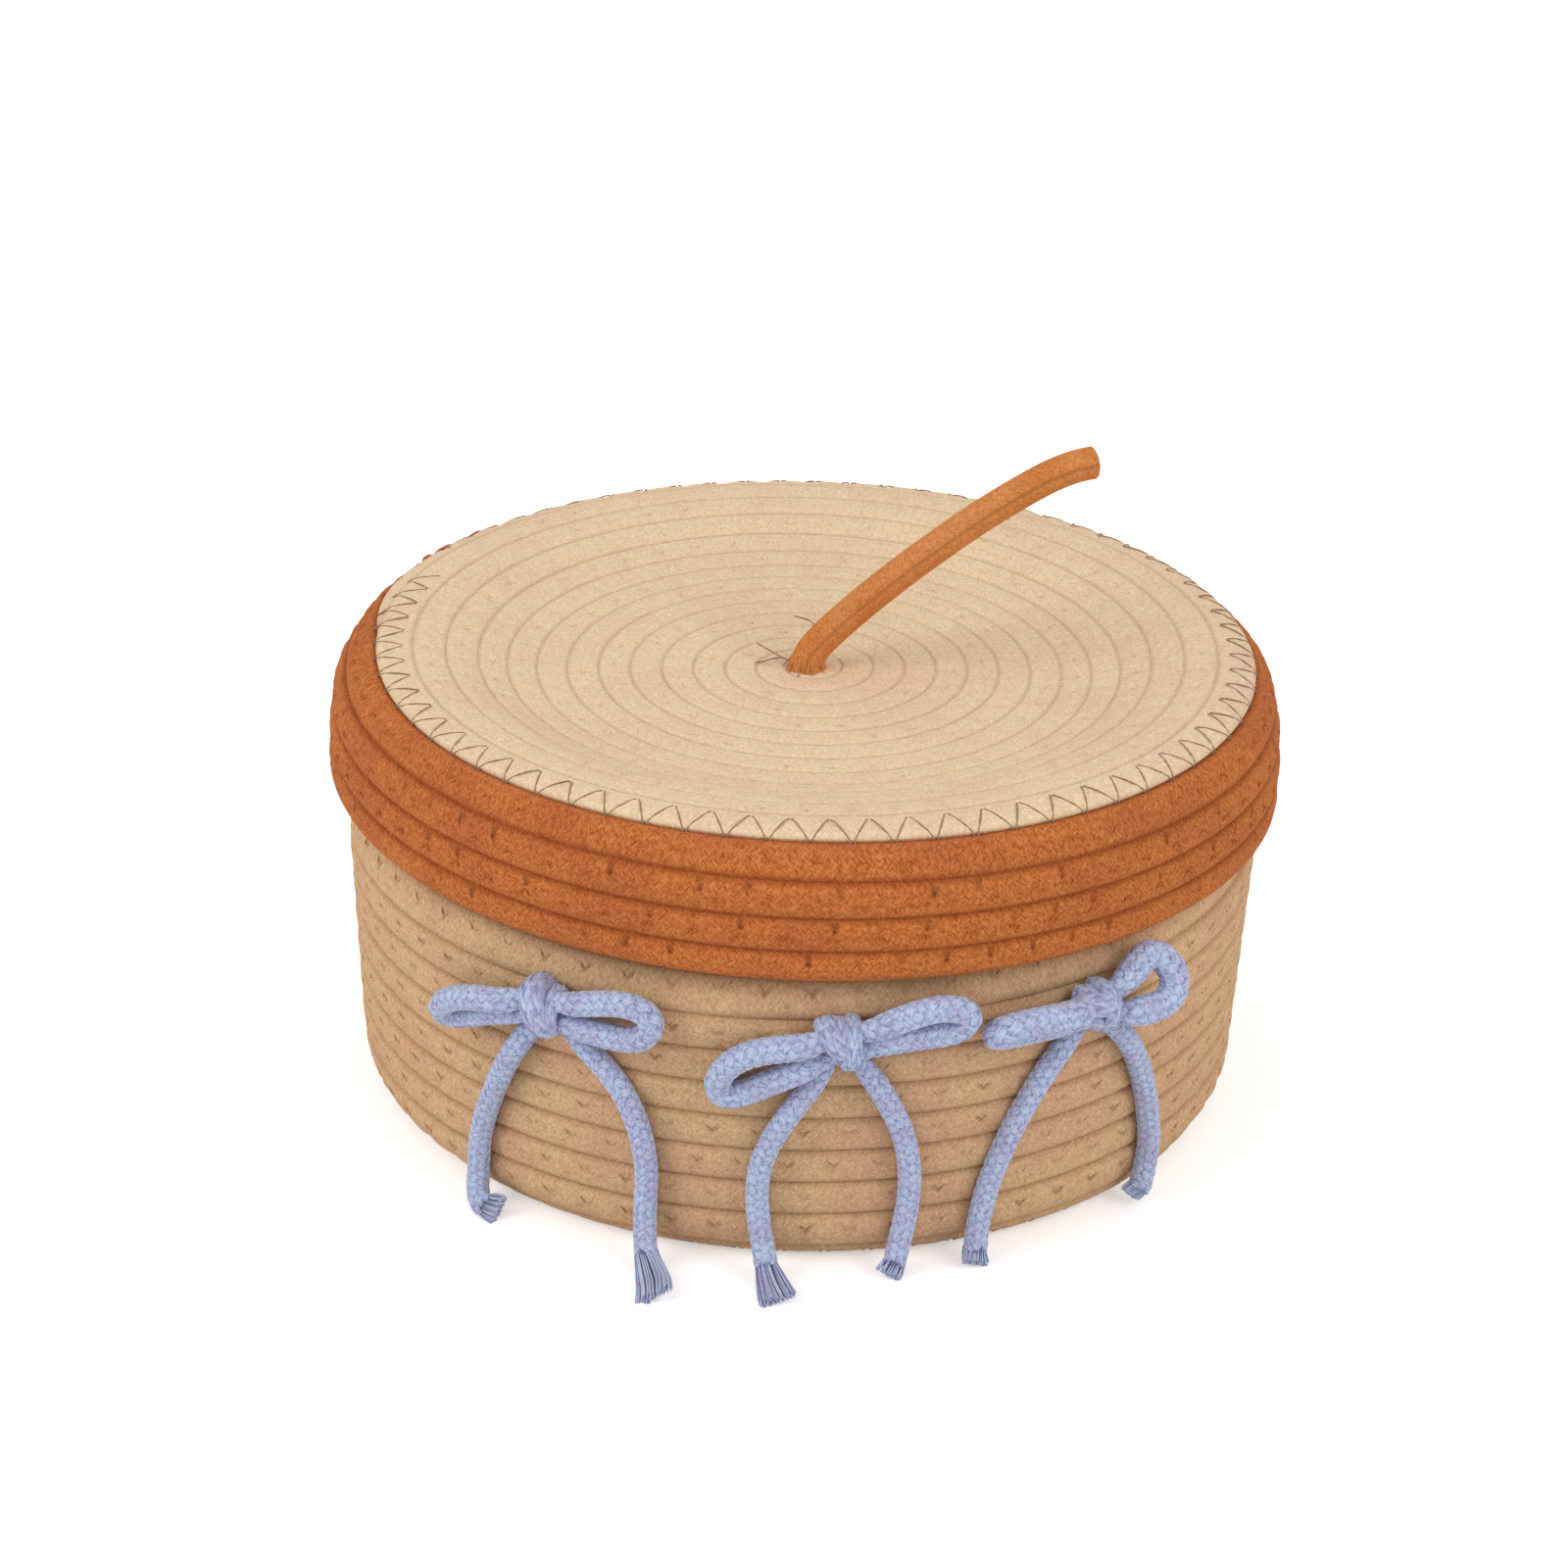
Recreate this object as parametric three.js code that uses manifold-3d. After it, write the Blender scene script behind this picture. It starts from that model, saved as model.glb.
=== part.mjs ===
// A round storage basket with a lift-off lid, wound and sewn from cotton rope.
// The basket is one rope: a flat spiral for the base that climbs into the wall.
// The lid is a second spiral in the same cream rope, finished with a rust coloured rim
// and a short rust stem. Three bows of blue braided cord are tied to the front of the wall.
//
// Millimetres, +Z up, the front towards -Y, the origin under the middle of the base.

import * as THREE from 'three';
import Module from 'manifold-3d';
import { mergeVertices } from 'three/addons/utils/BufferGeometryUtils.js';

const wasm = await Module();
wasm.setup();

// Rope. A course is one turn of rope beside the last one.
const ropeThickness = 8;
const stitchGap = 0.6;
const flatShare = 0.46;
const courseSteps = 20;
const coarseSteps = 10;
const leastStep = 0.05;
const endTaperTurns = 0.1;
const endTaperScale = 0.45;
const jointGap = 0.3;

// Basket. Radii and heights are those of the middle of the rope.
const basketPitch = 8.8;
const basketStart = -36;
const baseFlatRadius = 96.6;
const baseCornerRadius = 9;
const wallLean = 3.4;
const wallRun = 54.9;
const neckInset = 6.5;
const neckBendRadius = 10;
const neckRun = 20.7;
const baseCut = ropeThickness / 10;
const baseCoarseTurns = 4;
const tableHeight = 0;

// Lid.
const lidPitch = 7.77;
const rimPitch = 8;
const lidPlay = 3.2;
const lidSeatGap = 0.3;
const lidCornerRadius = 11;
const rimBulgeRadius = 95;
const rimBulgeAngle = 8;
const rimTuckAngle = 4;
const dishDepth = 7;
const dishBend = 20;
const dishLedge = 0.7;
const seamPastCorner = 6;
const rimStart = 138;
const rimTurns = 4;
const lidCoarseTurns = 2;

// Stem, as sideways and upward steps from the middle of the dish's top face.
const stemDiameter = 8;
const stemSides = 12;
const stemSteps = 12;
const stemRoute = [
  [-3.6, -5], [-1.6, 0.5], [0, 3.4], [2.7, 6.4], [6.6, 10.7], [13.6, 17.7], [22.9, 26.2],
  [32.3, 34.1], [41.4, 41.3], [50.6, 47.8], [58, 52.4], [63.8, 55], [69.2, 56.4],
];

// Bow cord and knots.
const cordDiameter = 5.8;
const cordGap = 0.3;
const cordSides = 8;
const tailSteps = 10;
const loopSteps = 16;
const loopPoints = 20;
const loopEndScale = 0.76;
const loopEndSteps = 4;
const loopRootGap = 0.3;
const loopRootInset = 2.4;
const loopRootLift = 4.5;
const loopReachPower = 0.65;
const knotWidth = 9.6;
const knotHeight = 10.8;
const knotDepth = 11.4;
const knotBandWidth = 4.4;
const knotBandCrown = 3.5;
const knotWaist = 0.86;
const knotEnd = 0.6;
const knotTilt = 8;
const knotSides = 12;

// Each bow has its place on the wall, two loops and two tails. A loop has its reach, the
// distance between its two strands, how it slopes and droops, how far it turns edge on
// and how far its tip stands off the wall. A tail is a list of points chosen by hand:
// distance round the wall from the knot, height above the table, distance off the wall.
const bows = {
  bow_left: {
    azimuth: 240.1, height: 63.6,
    loops: {
      left: { reach: 28.4, opening: 8, slope: -0.05, droop: 9.3, twist: 40, tipLift: 5 },
      right: { reach: 26.4, opening: 10.5, slope: 0.1, droop: 0, twist: 10, tipLift: 3 },
    },
    tails: {
      left: [
        [-2.9, 59.8, 0], [-3.8, 58.0, 0], [-6.6, 53.5, 0.3], [-10.9, 46.5, 0.4], [-16.0, 36.5, 0.4],
        [-20.4, 26.5, 0.4], [-23.0, 17.5, 0.4], [-23.6, 10.0, 0.6], [-22.6, 5.0, 1.8],
        [-19.4, 3.2, 3.6], [-15.0, 3.1, 3.2],
      ],
      right: [
        [3.2, 59.6, 0], [5.2, 57.4, 0], [10.6, 53.0, 0.3], [16.4, 47.6, 0.4], [20.6, 41.0, 0.4],
        [23.2, 33.5, 0.4], [24.2, 25.5, 0.4], [24.0, 17.0, 0.5], [24.1, 9.6, 1.2],
        [25.4, 4.4, 4.2], [27.6, 3.1, 9.6], [29.4, 3.1, 15.0], [30.4, 3.1, 20.0],
      ],
    },
  },
  bow_middle: {
    azimuth: 275.4, height: 64.4,
    loops: {
      left: { reach: 27.6, opening: 11.4, slope: -0.23, droop: 6.6, twist: 15, tipLift: 2.2 },
      right: { reach: 27.3, opening: 9, slope: 0.39, droop: 5.6, twist: 25, tipLift: 3.5 },
    },
    tails: {
      left: [
        [-2.8, 60.4, 0], [-3.8, 57.4, 0], [-7.2, 51.4, 0.3], [-12.0, 43.6, 0.4], [-15.6, 36.2, 0.4],
        [-17.8, 29.2, 0.4], [-18.4, 22.4, 0.4], [-18.0, 15.6, 0.5], [-16.8, 8.8, 1.3],
        [-15.6, 4.2, 4.4], [-14.4, 3.1, 9.4], [-13.0, 3.1, 14.8],
      ],
      right: [
        [3.2, 60.0, 0], [4.9, 56.8, 0], [8.7, 50.8, 0.3], [12.4, 43.8, 0.4], [15.3, 36.2, 0.4],
        [16.7, 28.6, 0.4], [17.0, 21.6, 0.4], [16.4, 14.8, 0.5], [15.2, 8.2, 0.9],
        [14.0, 4.0, 2.2], [12.6, 3.1, 5.0],
      ],
    },
  },
  bow_right: {
    azimuth: 306.5, height: 64.6,
    loops: {
      left: { reach: 26.6, opening: 8, slope: 0, droop: 0, twist: 50, tipLift: 4.6 },
      right: { reach: 18.5, opening: 13, slope: 0.24, droop: 0, twist: -20, tipLift: 8 },
    },
    tails: {
      left: [
        [-2.8, 60.2, 0], [-4.0, 58.0, 0], [-7.2, 54.0, 0.3], [-11.2, 48.4, 0.4], [-15.0, 42.0, 0.4],
        [-18.4, 35.2, 0.4], [-21.2, 28.4, 0.4], [-23.6, 21.4, 0.4], [-25.2, 14.4, 0.5],
        [-26.4, 8.0, 0.9], [-27.0, 4.2, 2.2], [-27.2, 3.1, 4.8],
      ],
      right: [
        [3.4, 60.2, 0], [5.4, 58.2, 0], [10.6, 53.2, 0.3], [15.6, 46.6, 0.4], [19.4, 39.6, 0.4],
        [22.2, 32.2, 0.4], [24.4, 24.6, 0.4], [25.8, 17.2, 0.4], [25.4, 10.8, 0.4],
        [24.0, 5.8, 0.5], [21.6, 3.3, 0.9],
      ],
    },
  },
};

const creamRope = new THREE.MeshStandardMaterial({ color: 0xdcbc92, roughness: 0.95, metalness: 0 });
const rustRope = new THREE.MeshStandardMaterial({ color: 0xbe6230, roughness: 0.95, metalness: 0 });
const blueCord = new THREE.MeshStandardMaterial({ color: 0xa0b4dc, roughness: 0.95, metalness: 0 });

const radians = THREE.MathUtils.degToRad;
const fullTurn = 360;

// A line in the plane of radius and height, made of straight runs and bends. Its heading
// is measured from outwards, and a positive bend turns it towards up.
class Profile {
  constructor(radius, height) {
    this.pieces = [];
    this.length = 0;
    this.end = { radius, height, heading: 0 };
  }

  straight(run) {
    return this.add(run, 0);
  }

  bend(bendRadius, degrees) {
    return this.add(bendRadius * Math.abs(radians(degrees)), Math.sign(degrees) / bendRadius);
  }

  add(run, curvature) {
    this.pieces.push({ from: this.length, start: this.end, curvature });
    this.length += run;
    this.end = this.at(this.length);
    return this;
  }

  at(distance) {
    let piece = this.pieces[0];
    for (const candidate of this.pieces) {
      if (candidate.from <= distance) piece = candidate;
    }
    const { start, curvature } = piece;
    const run = distance - piece.from;
    const heading = start.heading + run * curvature;
    if (curvature === 0) {
      const radius = start.radius + run * Math.cos(heading);
      return { radius, height: start.height + run * Math.sin(heading), heading };
    }
    const radius = start.radius + (Math.sin(heading) - Math.sin(start.heading)) / curvature;
    const height = start.height - (Math.cos(heading) - Math.cos(start.heading)) / curvature;
    return { radius, height, heading };
  }
}

// The basket's line: the base, the corner, the leaning wall and the neck under the lid.
const neckTurn = THREE.MathUtils.radToDeg(Math.acos(1 - neckInset / (2 * neckBendRadius)));
const basketLine = new Profile(0, tableHeight + ropeThickness / 2 - baseCut)
  .straight(baseFlatRadius)
  .bend(baseCornerRadius, 90 - wallLean)
  .straight(wallRun)
  .bend(neckBendRadius, wallLean + neckTurn)
  .bend(neckBendRadius, -neckTurn)
  .straight(neckRun);
const cornerTop = baseFlatRadius + baseCornerRadius * radians(90 - wallLean);
const neck = basketLine.end;
const wallTop = basketLine.at(basketLine.length - endTaperTurns * basketPitch).height
  + (basketPitch - stitchGap) / 2;

// The lid's line: the disc, which sags to a shallow dish inside the neck, the corner and the
// rim, which bulges round the neck.
const lidRadius = neck.radius + ropeThickness + lidPlay;
const lidHeight = wallTop + lidSeatGap + ropeThickness / 2;
const rimTopRadius = lidRadius - rimBulgeRadius * (1 - Math.cos(radians(rimBulgeAngle)));
const discFlatRadius = rimTopRadius - lidCornerRadius * Math.cos(radians(rimBulgeAngle));
const dishBendRadius = dishDepth / 2 / (1 - Math.cos(radians(dishBend)));
const dishFloorRadius = discFlatRadius - dishLedge - 2 * dishBendRadius * Math.sin(radians(dishBend));
const lidLine = new Profile(0, lidHeight - dishDepth)
  .straight(dishFloorRadius)
  .bend(dishBendRadius, dishBend)
  .bend(dishBendRadius, -dishBend)
  .straight(dishLedge);
const discEnd = lidLine.length;
lidLine.bend(lidCornerRadius, rimBulgeAngle - 90).bend(rimBulgeRadius, -rimBulgeAngle - rimTuckAngle);
const dishFace = lidHeight - dishDepth + ropeThickness / 2;

// Where along its line a rope lies after a number of turns from its start.
function along(pitch, turns) {
  return pitch * (turns + 0.5);
}

function turnsTo(pitch, distance) {
  return distance / pitch - 0.5;
}

// The turns at which a coil has a ring: every step on azimuths that all coils share, its two
// ends, and where it passes the ends, so that courses lie snugly beside each other.
function ringTurns({ start, from, to, coarseTurns = 0 }) {
  const ends = [from, to, from + 1, to - 1].filter((turn) => turn >= from && turn <= to);
  const turns = [...ends];
  const first = Math.ceil((start / fullTurn + from) * courseSteps);
  const last = Math.floor((start / fullTurn + to) * courseSteps);
  for (let step = first; step <= last; step += 1) {
    const turn = step / courseSteps - start / fullTurn;
    const isCoarse = turn < coarseTurns && step % (courseSteps / coarseSteps) !== 0;
    const isNearEnd = ends.some((end) => Math.abs(end - turn) < leastStep / courseSteps);
    if (!isCoarse && !isNearEnd) turns.push(turn);
  }
  return turns.sort((a, b) => a - b);
}

// The six corners of the rope's section after a number of turns: a flat inside and outside,
// and a ridge towards each neighbouring course. A tapered end shrinks towards its neighbour,
// and rope that stands on the table is flat there.
function ringPoints({ line, pitch, start, to, shift = 0, tapered = false }, turn) {
  const width = pitch - stitchGap;
  const left = tapered ? Math.min(1, (to - turn) / endTaperTurns) : 1;
  const scale = endTaperScale + (1 - endTaperScale) * left;
  const { radius, height, heading } = line.at(along(pitch, turn) + shift - (1 - scale) * width / 2);
  const azimuth = radians(start) + turn * 2 * Math.PI;
  const halfWidth = scale * width / 2;
  const halfFlat = halfWidth * flatShare;
  const halfThickness = scale * ropeThickness / 2;
  const corners = [
    [halfWidth, 0], [halfFlat, halfThickness], [-halfFlat, halfThickness],
    [-halfWidth, 0], [-halfFlat, -halfThickness], [halfFlat, -halfThickness],
  ];
  return corners.map(([forward, outward]) => {
    const r = radius + forward * Math.cos(heading) + outward * Math.sin(heading);
    const z = height + forward * Math.sin(heading) - outward * Math.cos(heading);
    return new THREE.Vector3(r * Math.cos(azimuth), r * Math.sin(azimuth), Math.max(z, tableHeight));
  });
}

// Rings of points joined to one closed tube, with a fan of triangles over each end.
function tubeFromRings(rings) {
  const sides = rings[0].length;
  const positions = rings.flat().flatMap((point) => point.toArray());
  const index = [];
  for (let ring = 0; ring < rings.length - 1; ring += 1) {
    for (let side = 0; side < sides; side += 1) {
      const a = ring * sides + side;
      const b = ring * sides + (side + 1) % sides;
      index.push(a, b, b + sides, a, b + sides, a + sides);
    }
  }
  const last = (rings.length - 1) * sides;
  for (let side = 1; side < sides - 1; side += 1) {
    index.push(0, side + 1, side, last, last + side, last + side + 1);
  }
  const geometry = new THREE.BufferGeometry();
  geometry.setAttribute('position', new THREE.Float32BufferAttribute(positions, 3));
  geometry.setIndex(index);
  return geometry;
}

function coilGeometry(coil) {
  return tubeFromRings(ringTurns(coil).map((turn) => ringPoints(coil, turn)));
}

// The least distance between one course and the next, on points of their outlines.
function leastCourseGap(coil) {
  const samplesPerStep = 4;
  const pointsPerSide = 4;
  const turns = ringTurns(coil);
  const outlines = [];
  for (let ring = 0; ring < turns.length - 1; ring += 1) {
    const near = ringPoints(coil, turns[ring]);
    const far = ringPoints(coil, turns[ring + 1]);
    for (let sample = 0; sample < samplesPerStep; sample += 1) {
      const share = sample / samplesPerStep;
      const corners = near.map((point, side) => point.clone().lerp(far[side], share));
      const turn = THREE.MathUtils.lerp(turns[ring], turns[ring + 1], share);
      const points = corners.flatMap((corner, side) => {
        const next = corners[(side + 1) % corners.length];
        const shares = Array.from({ length: pointsPerSide }, (_, i) => i / pointsPerSide);
        return shares.map((way) => corner.clone().lerp(next, way));
      });
      outlines.push({ turn, points });
    }
  }
  const reach = 1.5 / (courseSteps * samplesPerStep);
  let least = Infinity;
  let other = 0;
  for (const { turn, points } of outlines) {
    while (other < outlines.length && outlines[other].turn < turn + 1 - reach) other += 1;
    for (let near = other; near < outlines.length && outlines[near].turn < turn + 1 + reach; near += 1) {
      for (const point of points) {
        for (const facing of outlines[near].points) least = Math.min(least, point.distanceTo(facing));
      }
    }
  }
  return least;
}

// A solid of a closed mesh: its shared points are merged, and the triangles that shrink to
// a line where a revolved outline meets its axis are left out.
function solidFrom(geometry) {
  const bare = geometry.clone();
  bare.deleteAttribute('normal');
  bare.deleteAttribute('uv');
  const merged = mergeVertices(bare, 1e-4);
  const corners = merged.index.array;
  const triangles = [];
  for (let i = 0; i < corners.length; i += 3) {
    const [a, b, c] = [corners[i], corners[i + 1], corners[i + 2]];
    if (a !== b && b !== c && c !== a) triangles.push(a, b, c);
  }
  return new wasm.Manifold(new wasm.Mesh({
    numProp: 3,
    vertProperties: new Float32Array(merged.attributes.position.array),
    triVerts: new Uint32Array(triangles),
  }));
}

function geometryFrom(solid) {
  const mesh = solid.getMesh();
  const geometry = new THREE.BufferGeometry();
  geometry.setAttribute('position', new THREE.Float32BufferAttribute(mesh.vertProperties, 3));
  geometry.setIndex(Array.from(mesh.triVerts));
  return geometry;
}

// What is left of a cord that is cut back to a knot, without the crumbs of the cut.
function mainBody(solid) {
  const bodies = solid.decompose();
  return bodies.reduce((main, body) => (body.volume() > main.volume() ? body : main));
}

// A slab whose top face is at a height, used to cut a foot flat.
function slabBelow(height) {
  const side = 2 * lidRadius;
  return solidFrom(new THREE.BoxGeometry(side, side, side).translate(0, 0, height - side / 2));
}

const basket = new THREE.Group();

function addPiece(name, geometry, material) {
  const mesh = new THREE.Mesh(geometry, material);
  mesh.name = name;
  basket.add(mesh);
}

function addCoil(name, coil, material) {
  console.log(`${name}: least gap between courses ${leastCourseGap(coil).toFixed(2)} mm`);
  addPiece(name, coilGeometry(coil), material);
}

// The angle, as a share of a turn, that the gap between two rope ends takes at a radius.
function gapTurns(radius) {
  return jointGap / (2 * Math.PI * radius);
}

function addBasketCoils() {
  const split = turnsTo(basketPitch, baseFlatRadius);
  const rope = { line: basketLine, pitch: basketPitch, start: basketStart };
  const base = { ...rope, from: 0, to: split - gapTurns(baseFlatRadius), coarseTurns: baseCoarseTurns };
  const wall = { ...rope, from: split, to: turnsTo(basketPitch, basketLine.length), tapered: true };
  addCoil('basket_base', base, creamRope);
  addCoil('basket_wall', wall, creamRope);
}

function addLidCoils() {
  const seam = turnsTo(lidPitch, discEnd + seamPastCorner);
  const rope = { line: lidLine, start: rimStart - seam * fullTurn };
  const disc = {
    ...rope, pitch: lidPitch, from: 0, to: seam - gapTurns(lidRadius), coarseTurns: lidCoarseTurns,
  };
  const shift = along(lidPitch, seam) - along(rimPitch, seam);
  const rim = { ...rope, pitch: rimPitch, shift, from: seam, to: seam + rimTurns, tapered: true };
  addCoil('lid_disc', disc, creamRope);
  addCoil('lid_rim', rim, rustRope);
}

function roundSection(diameter, sides) {
  const section = new THREE.Shape();
  for (let side = 0; side < sides; side += 1) {
    const angle = (side + 0.5) * 2 * Math.PI / sides;
    const [x, y] = [diameter / 2 * Math.cos(angle), diameter / 2 * Math.sin(angle)];
    if (side === 0) section.moveTo(x, y);
    else section.lineTo(x, y);
  }
  section.closePath();
  return section;
}

function cordAlong(points, diameter, sides, steps) {
  const extrudePath = new THREE.CatmullRomCurve3(points);
  return new THREE.ExtrudeGeometry(roundSection(diameter, sides), { steps, extrudePath });
}

function addStem() {
  const points = stemRoute.map(([across, up]) => new THREE.Vector3(across, 0, dishFace + up));
  const rope = solidFrom(cordAlong(points, stemDiameter, stemSides, stemSteps));
  addPiece('stem', geometryFrom(rope.subtract(slabBelow(dishFace + jointGap))), rustRope);
}

// The radius of the wall's outer face at an azimuth and a height. Below the corner it is the
// corner's own, because what hangs on the wall hangs straight down from there.
function wallFace(azimuth, height) {
  let low = cornerTop;
  let high = basketLine.length;
  while (high - low > leastStep * jointGap) {
    const middle = (low + high) / 2;
    if (basketLine.at(middle).height < height) low = middle;
    else high = middle;
  }
  const step = 2 * Math.PI / courseSteps;
  const intoStep = THREE.MathUtils.euclideanModulo(azimuth, step) - step / 2;
  const facet = Math.cos(step / 2) / Math.cos(intoStep);
  return (basketLine.at(low).radius + ropeThickness / 2) * facet;
}

// A point off the wall: a distance round it from the bow's knot, a height above the table
// and the distance between the wall and the near side of a cord there.
function offWall(bow, across, height, lift) {
  const knotAzimuth = radians(bow.azimuth);
  const knotRadius = wallFace(knotAzimuth, bow.height);
  const azimuth = knotAzimuth + across / knotRadius;
  const radius = wallFace(azimuth, height) + cordGap + cordDiameter / 2 + lift;
  return new THREE.Vector3(radius * Math.cos(azimuth), radius * Math.sin(azimuth), height);
}

// A knot, revolved about the line from loop to loop: the crossed cords bulge on both sides
// of the cord's last turn, which is a raised band round them. The amount grow makes the same
// knot larger, to cut room for it in its neighbours.
function knotSolid(bow, grow) {
  const end = knotWidth / 2 + grow;
  const band = knotBandWidth / 2 + grow;
  const crown = knotBandCrown / 2 + grow;
  const shoulder = (end + band) / 2;
  const half = [[0, -end], [knotEnd, -end], [knotWaist, -shoulder], [knotWaist, -band], [1, -crown]];
  const otherHalf = half.map(([share, across]) => [share, -across]).reverse();
  const outline = [...half, ...otherHalf].map(([share, across]) => new THREE.Vector2(share, across));
  const knot = new THREE.LatheGeometry(outline, knotSides);
  knot.rotateZ(-Math.PI / 2);
  knot.scale(1, knotHeight / 2 + grow, knotDepth / 2 + grow);
  knot.rotateZ(radians(knotTilt));
  const azimuth = radians(bow.azimuth);
  const radius = wallFace(azimuth, bow.height) + cordGap + knotDepth / 2;
  const place = new THREE.Matrix4().makeBasis(
    new THREE.Vector3(-Math.sin(azimuth), Math.cos(azimuth), 0),
    new THREE.Vector3(0, 0, 1),
    new THREE.Vector3(Math.cos(azimuth), Math.sin(azimuth), 0),
  );
  place.setPosition(radius * Math.cos(azimuth), radius * Math.sin(azimuth), bow.height);
  return solidFrom(knot).transform(place.elements);
}

// A loop leaves the knot with one strand above the other, swings out and comes back.
function loopCurve(bow, side, loop) {
  const rootSpread = (cordDiameter * loopEndScale + loopRootGap) / 2;
  const swell = Math.max(0, loop.opening / 2 - rootSpread * Math.SQRT1_2);
  const knotLift = (knotDepth - cordDiameter) / 2;
  const root = (sign) => offWall(bow, side * loopRootInset, bow.height + sign * rootSpread, knotLift);
  const points = [root(1)];
  for (let i = 1; i < loopPoints; i += 1) {
    const t = i / loopPoints;
    const reach = loop.reach * Math.sin(Math.PI * t) ** loopReachPower;
    const share = reach / loop.reach;
    const spread = rootSpread * Math.cos(Math.PI * t) + swell * Math.sin(2 * Math.PI * t);
    const up = loop.slope * reach - loop.droop * share ** 2 + spread * Math.cos(radians(loop.twist));
    const stand = THREE.MathUtils.lerp(loopRootLift, loop.tipLift, share);
    const lift = Math.max(0, stand + spread * Math.sin(radians(loop.twist)));
    points.push(offWall(bow, side * reach, bow.height + up, lift));
  }
  points.push(root(-1));
  return new THREE.CatmullRomCurve3(points);
}

function loopSolid(bow, side, loop, grow) {
  const curve = loopCurve(bow, side, loop);
  const frames = curve.computeFrenetFrames(loopSteps, false);
  const centres = curve.getSpacedPoints(loopSteps);
  const rings = centres.map((centre, i) => {
    const fromEnd = Math.min(i, loopSteps - i) / loopEndSteps;
    const scale = THREE.MathUtils.lerp(loopEndScale, 1, Math.min(1, fromEnd));
    const radius = cordDiameter / 2 * scale + grow;
    return Array.from({ length: cordSides }, (_, corner) => {
      const angle = corner * 2 * Math.PI / cordSides;
      return centre.clone()
        .addScaledVector(frames.normals[i], radius * Math.cos(angle))
        .addScaledVector(frames.binormals[i], radius * Math.sin(angle));
    });
  });
  return solidFrom(tubeFromRings(rings));
}

function addBow(name, bow) {
  addPiece(`${name}_knot`, geometryFrom(knotSolid(bow, 0)), blueCord);
  const sides = { left: -1, right: 1 };
  for (const [side, direction] of Object.entries(sides)) {
    const loop = loopSolid(bow, direction, bow.loops[side], 0).subtract(knotSolid(bow, cordGap));
    addPiece(`${name}_loop_${side}`, geometryFrom(mainBody(loop)), blueCord);
  }
  for (const side of Object.keys(sides)) {
    const points = bow.tails[side].map(([across, height, lift]) => offWall(bow, across, height, lift));
    let tail = solidFrom(cordAlong(points, cordDiameter, cordSides, tailSteps));
    tail = tail.subtract(knotSolid(bow, cordGap));
    for (const [other, direction] of Object.entries(sides)) {
      tail = tail.subtract(loopSolid(bow, direction, bow.loops[other], cordGap));
    }
    addPiece(`${name}_tail_${side}`, geometryFrom(mainBody(tail)), blueCord);
  }
}

addBasketCoils();
addLidCoils();
addStem();
for (const [name, bow] of Object.entries(bows)) addBow(name, bow);

export default basket;
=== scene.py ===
# A round storage basket with a lift-off lid, wound and sewn from cotton rope.
# Cream rope makes the basket and the lid's disc, rust rope the lid's rim and its stem, and
# three bows of pale blue braided cord are tied to the front of the wall.
#
# Metres, +Z up, the front towards -Y, the origin under the middle of the base.

import math
from functools import partial

import bmesh
import bpy
import numpy as np
from mathutils import Matrix, Vector


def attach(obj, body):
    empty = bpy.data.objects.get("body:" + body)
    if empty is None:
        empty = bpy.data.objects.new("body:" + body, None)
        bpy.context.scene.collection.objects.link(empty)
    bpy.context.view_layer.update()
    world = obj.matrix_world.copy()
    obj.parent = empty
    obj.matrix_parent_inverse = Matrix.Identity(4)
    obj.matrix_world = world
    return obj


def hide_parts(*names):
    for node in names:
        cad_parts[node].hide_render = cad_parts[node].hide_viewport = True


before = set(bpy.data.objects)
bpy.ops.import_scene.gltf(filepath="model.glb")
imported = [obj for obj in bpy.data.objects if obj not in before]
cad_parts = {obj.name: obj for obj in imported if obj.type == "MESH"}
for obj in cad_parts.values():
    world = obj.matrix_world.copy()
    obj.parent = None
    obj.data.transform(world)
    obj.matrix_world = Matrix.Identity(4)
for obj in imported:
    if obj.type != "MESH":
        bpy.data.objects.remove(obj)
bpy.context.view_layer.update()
scene = bpy.context.scene

mm = 0.001
full_turn = 2 * math.pi

# Rope. A course is one turn of rope beside the last one.
rope_thickness = 8 * mm
rope_sides = 20
end_taper_turns = 0.1
end_taper_scale = 0.45
curled_in = -0.4

# Basket. Radii and heights are those of the middle of the rope.
basket_pitch = 8.8 * mm
basket_start = math.radians(-36)
base_flat_radius = 96.6 * mm
base_corner_radius = 9 * mm
wall_lean = 3.4
wall_run = 54.9 * mm
neck_inset = 6.5 * mm
neck_bend_radius = 10 * mm
neck_run = 20.7 * mm
base_cut = rope_thickness / 10

# Lid.
lid_pitch = 7.77 * mm
rim_pitch = 8 * mm
lid_play = 3.2 * mm
lid_seat_gap = 0.3 * mm
lid_corner_radius = 11 * mm
rim_bulge_radius = 95 * mm
rim_bulge_angle = 8
rim_tuck_angle = 4
dish_depth = 7 * mm
dish_bend = 20
dish_ledge = 0.7 * mm
seam_past_corner = 6 * mm
rim_start = math.radians(138)
rim_turns = 4

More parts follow.
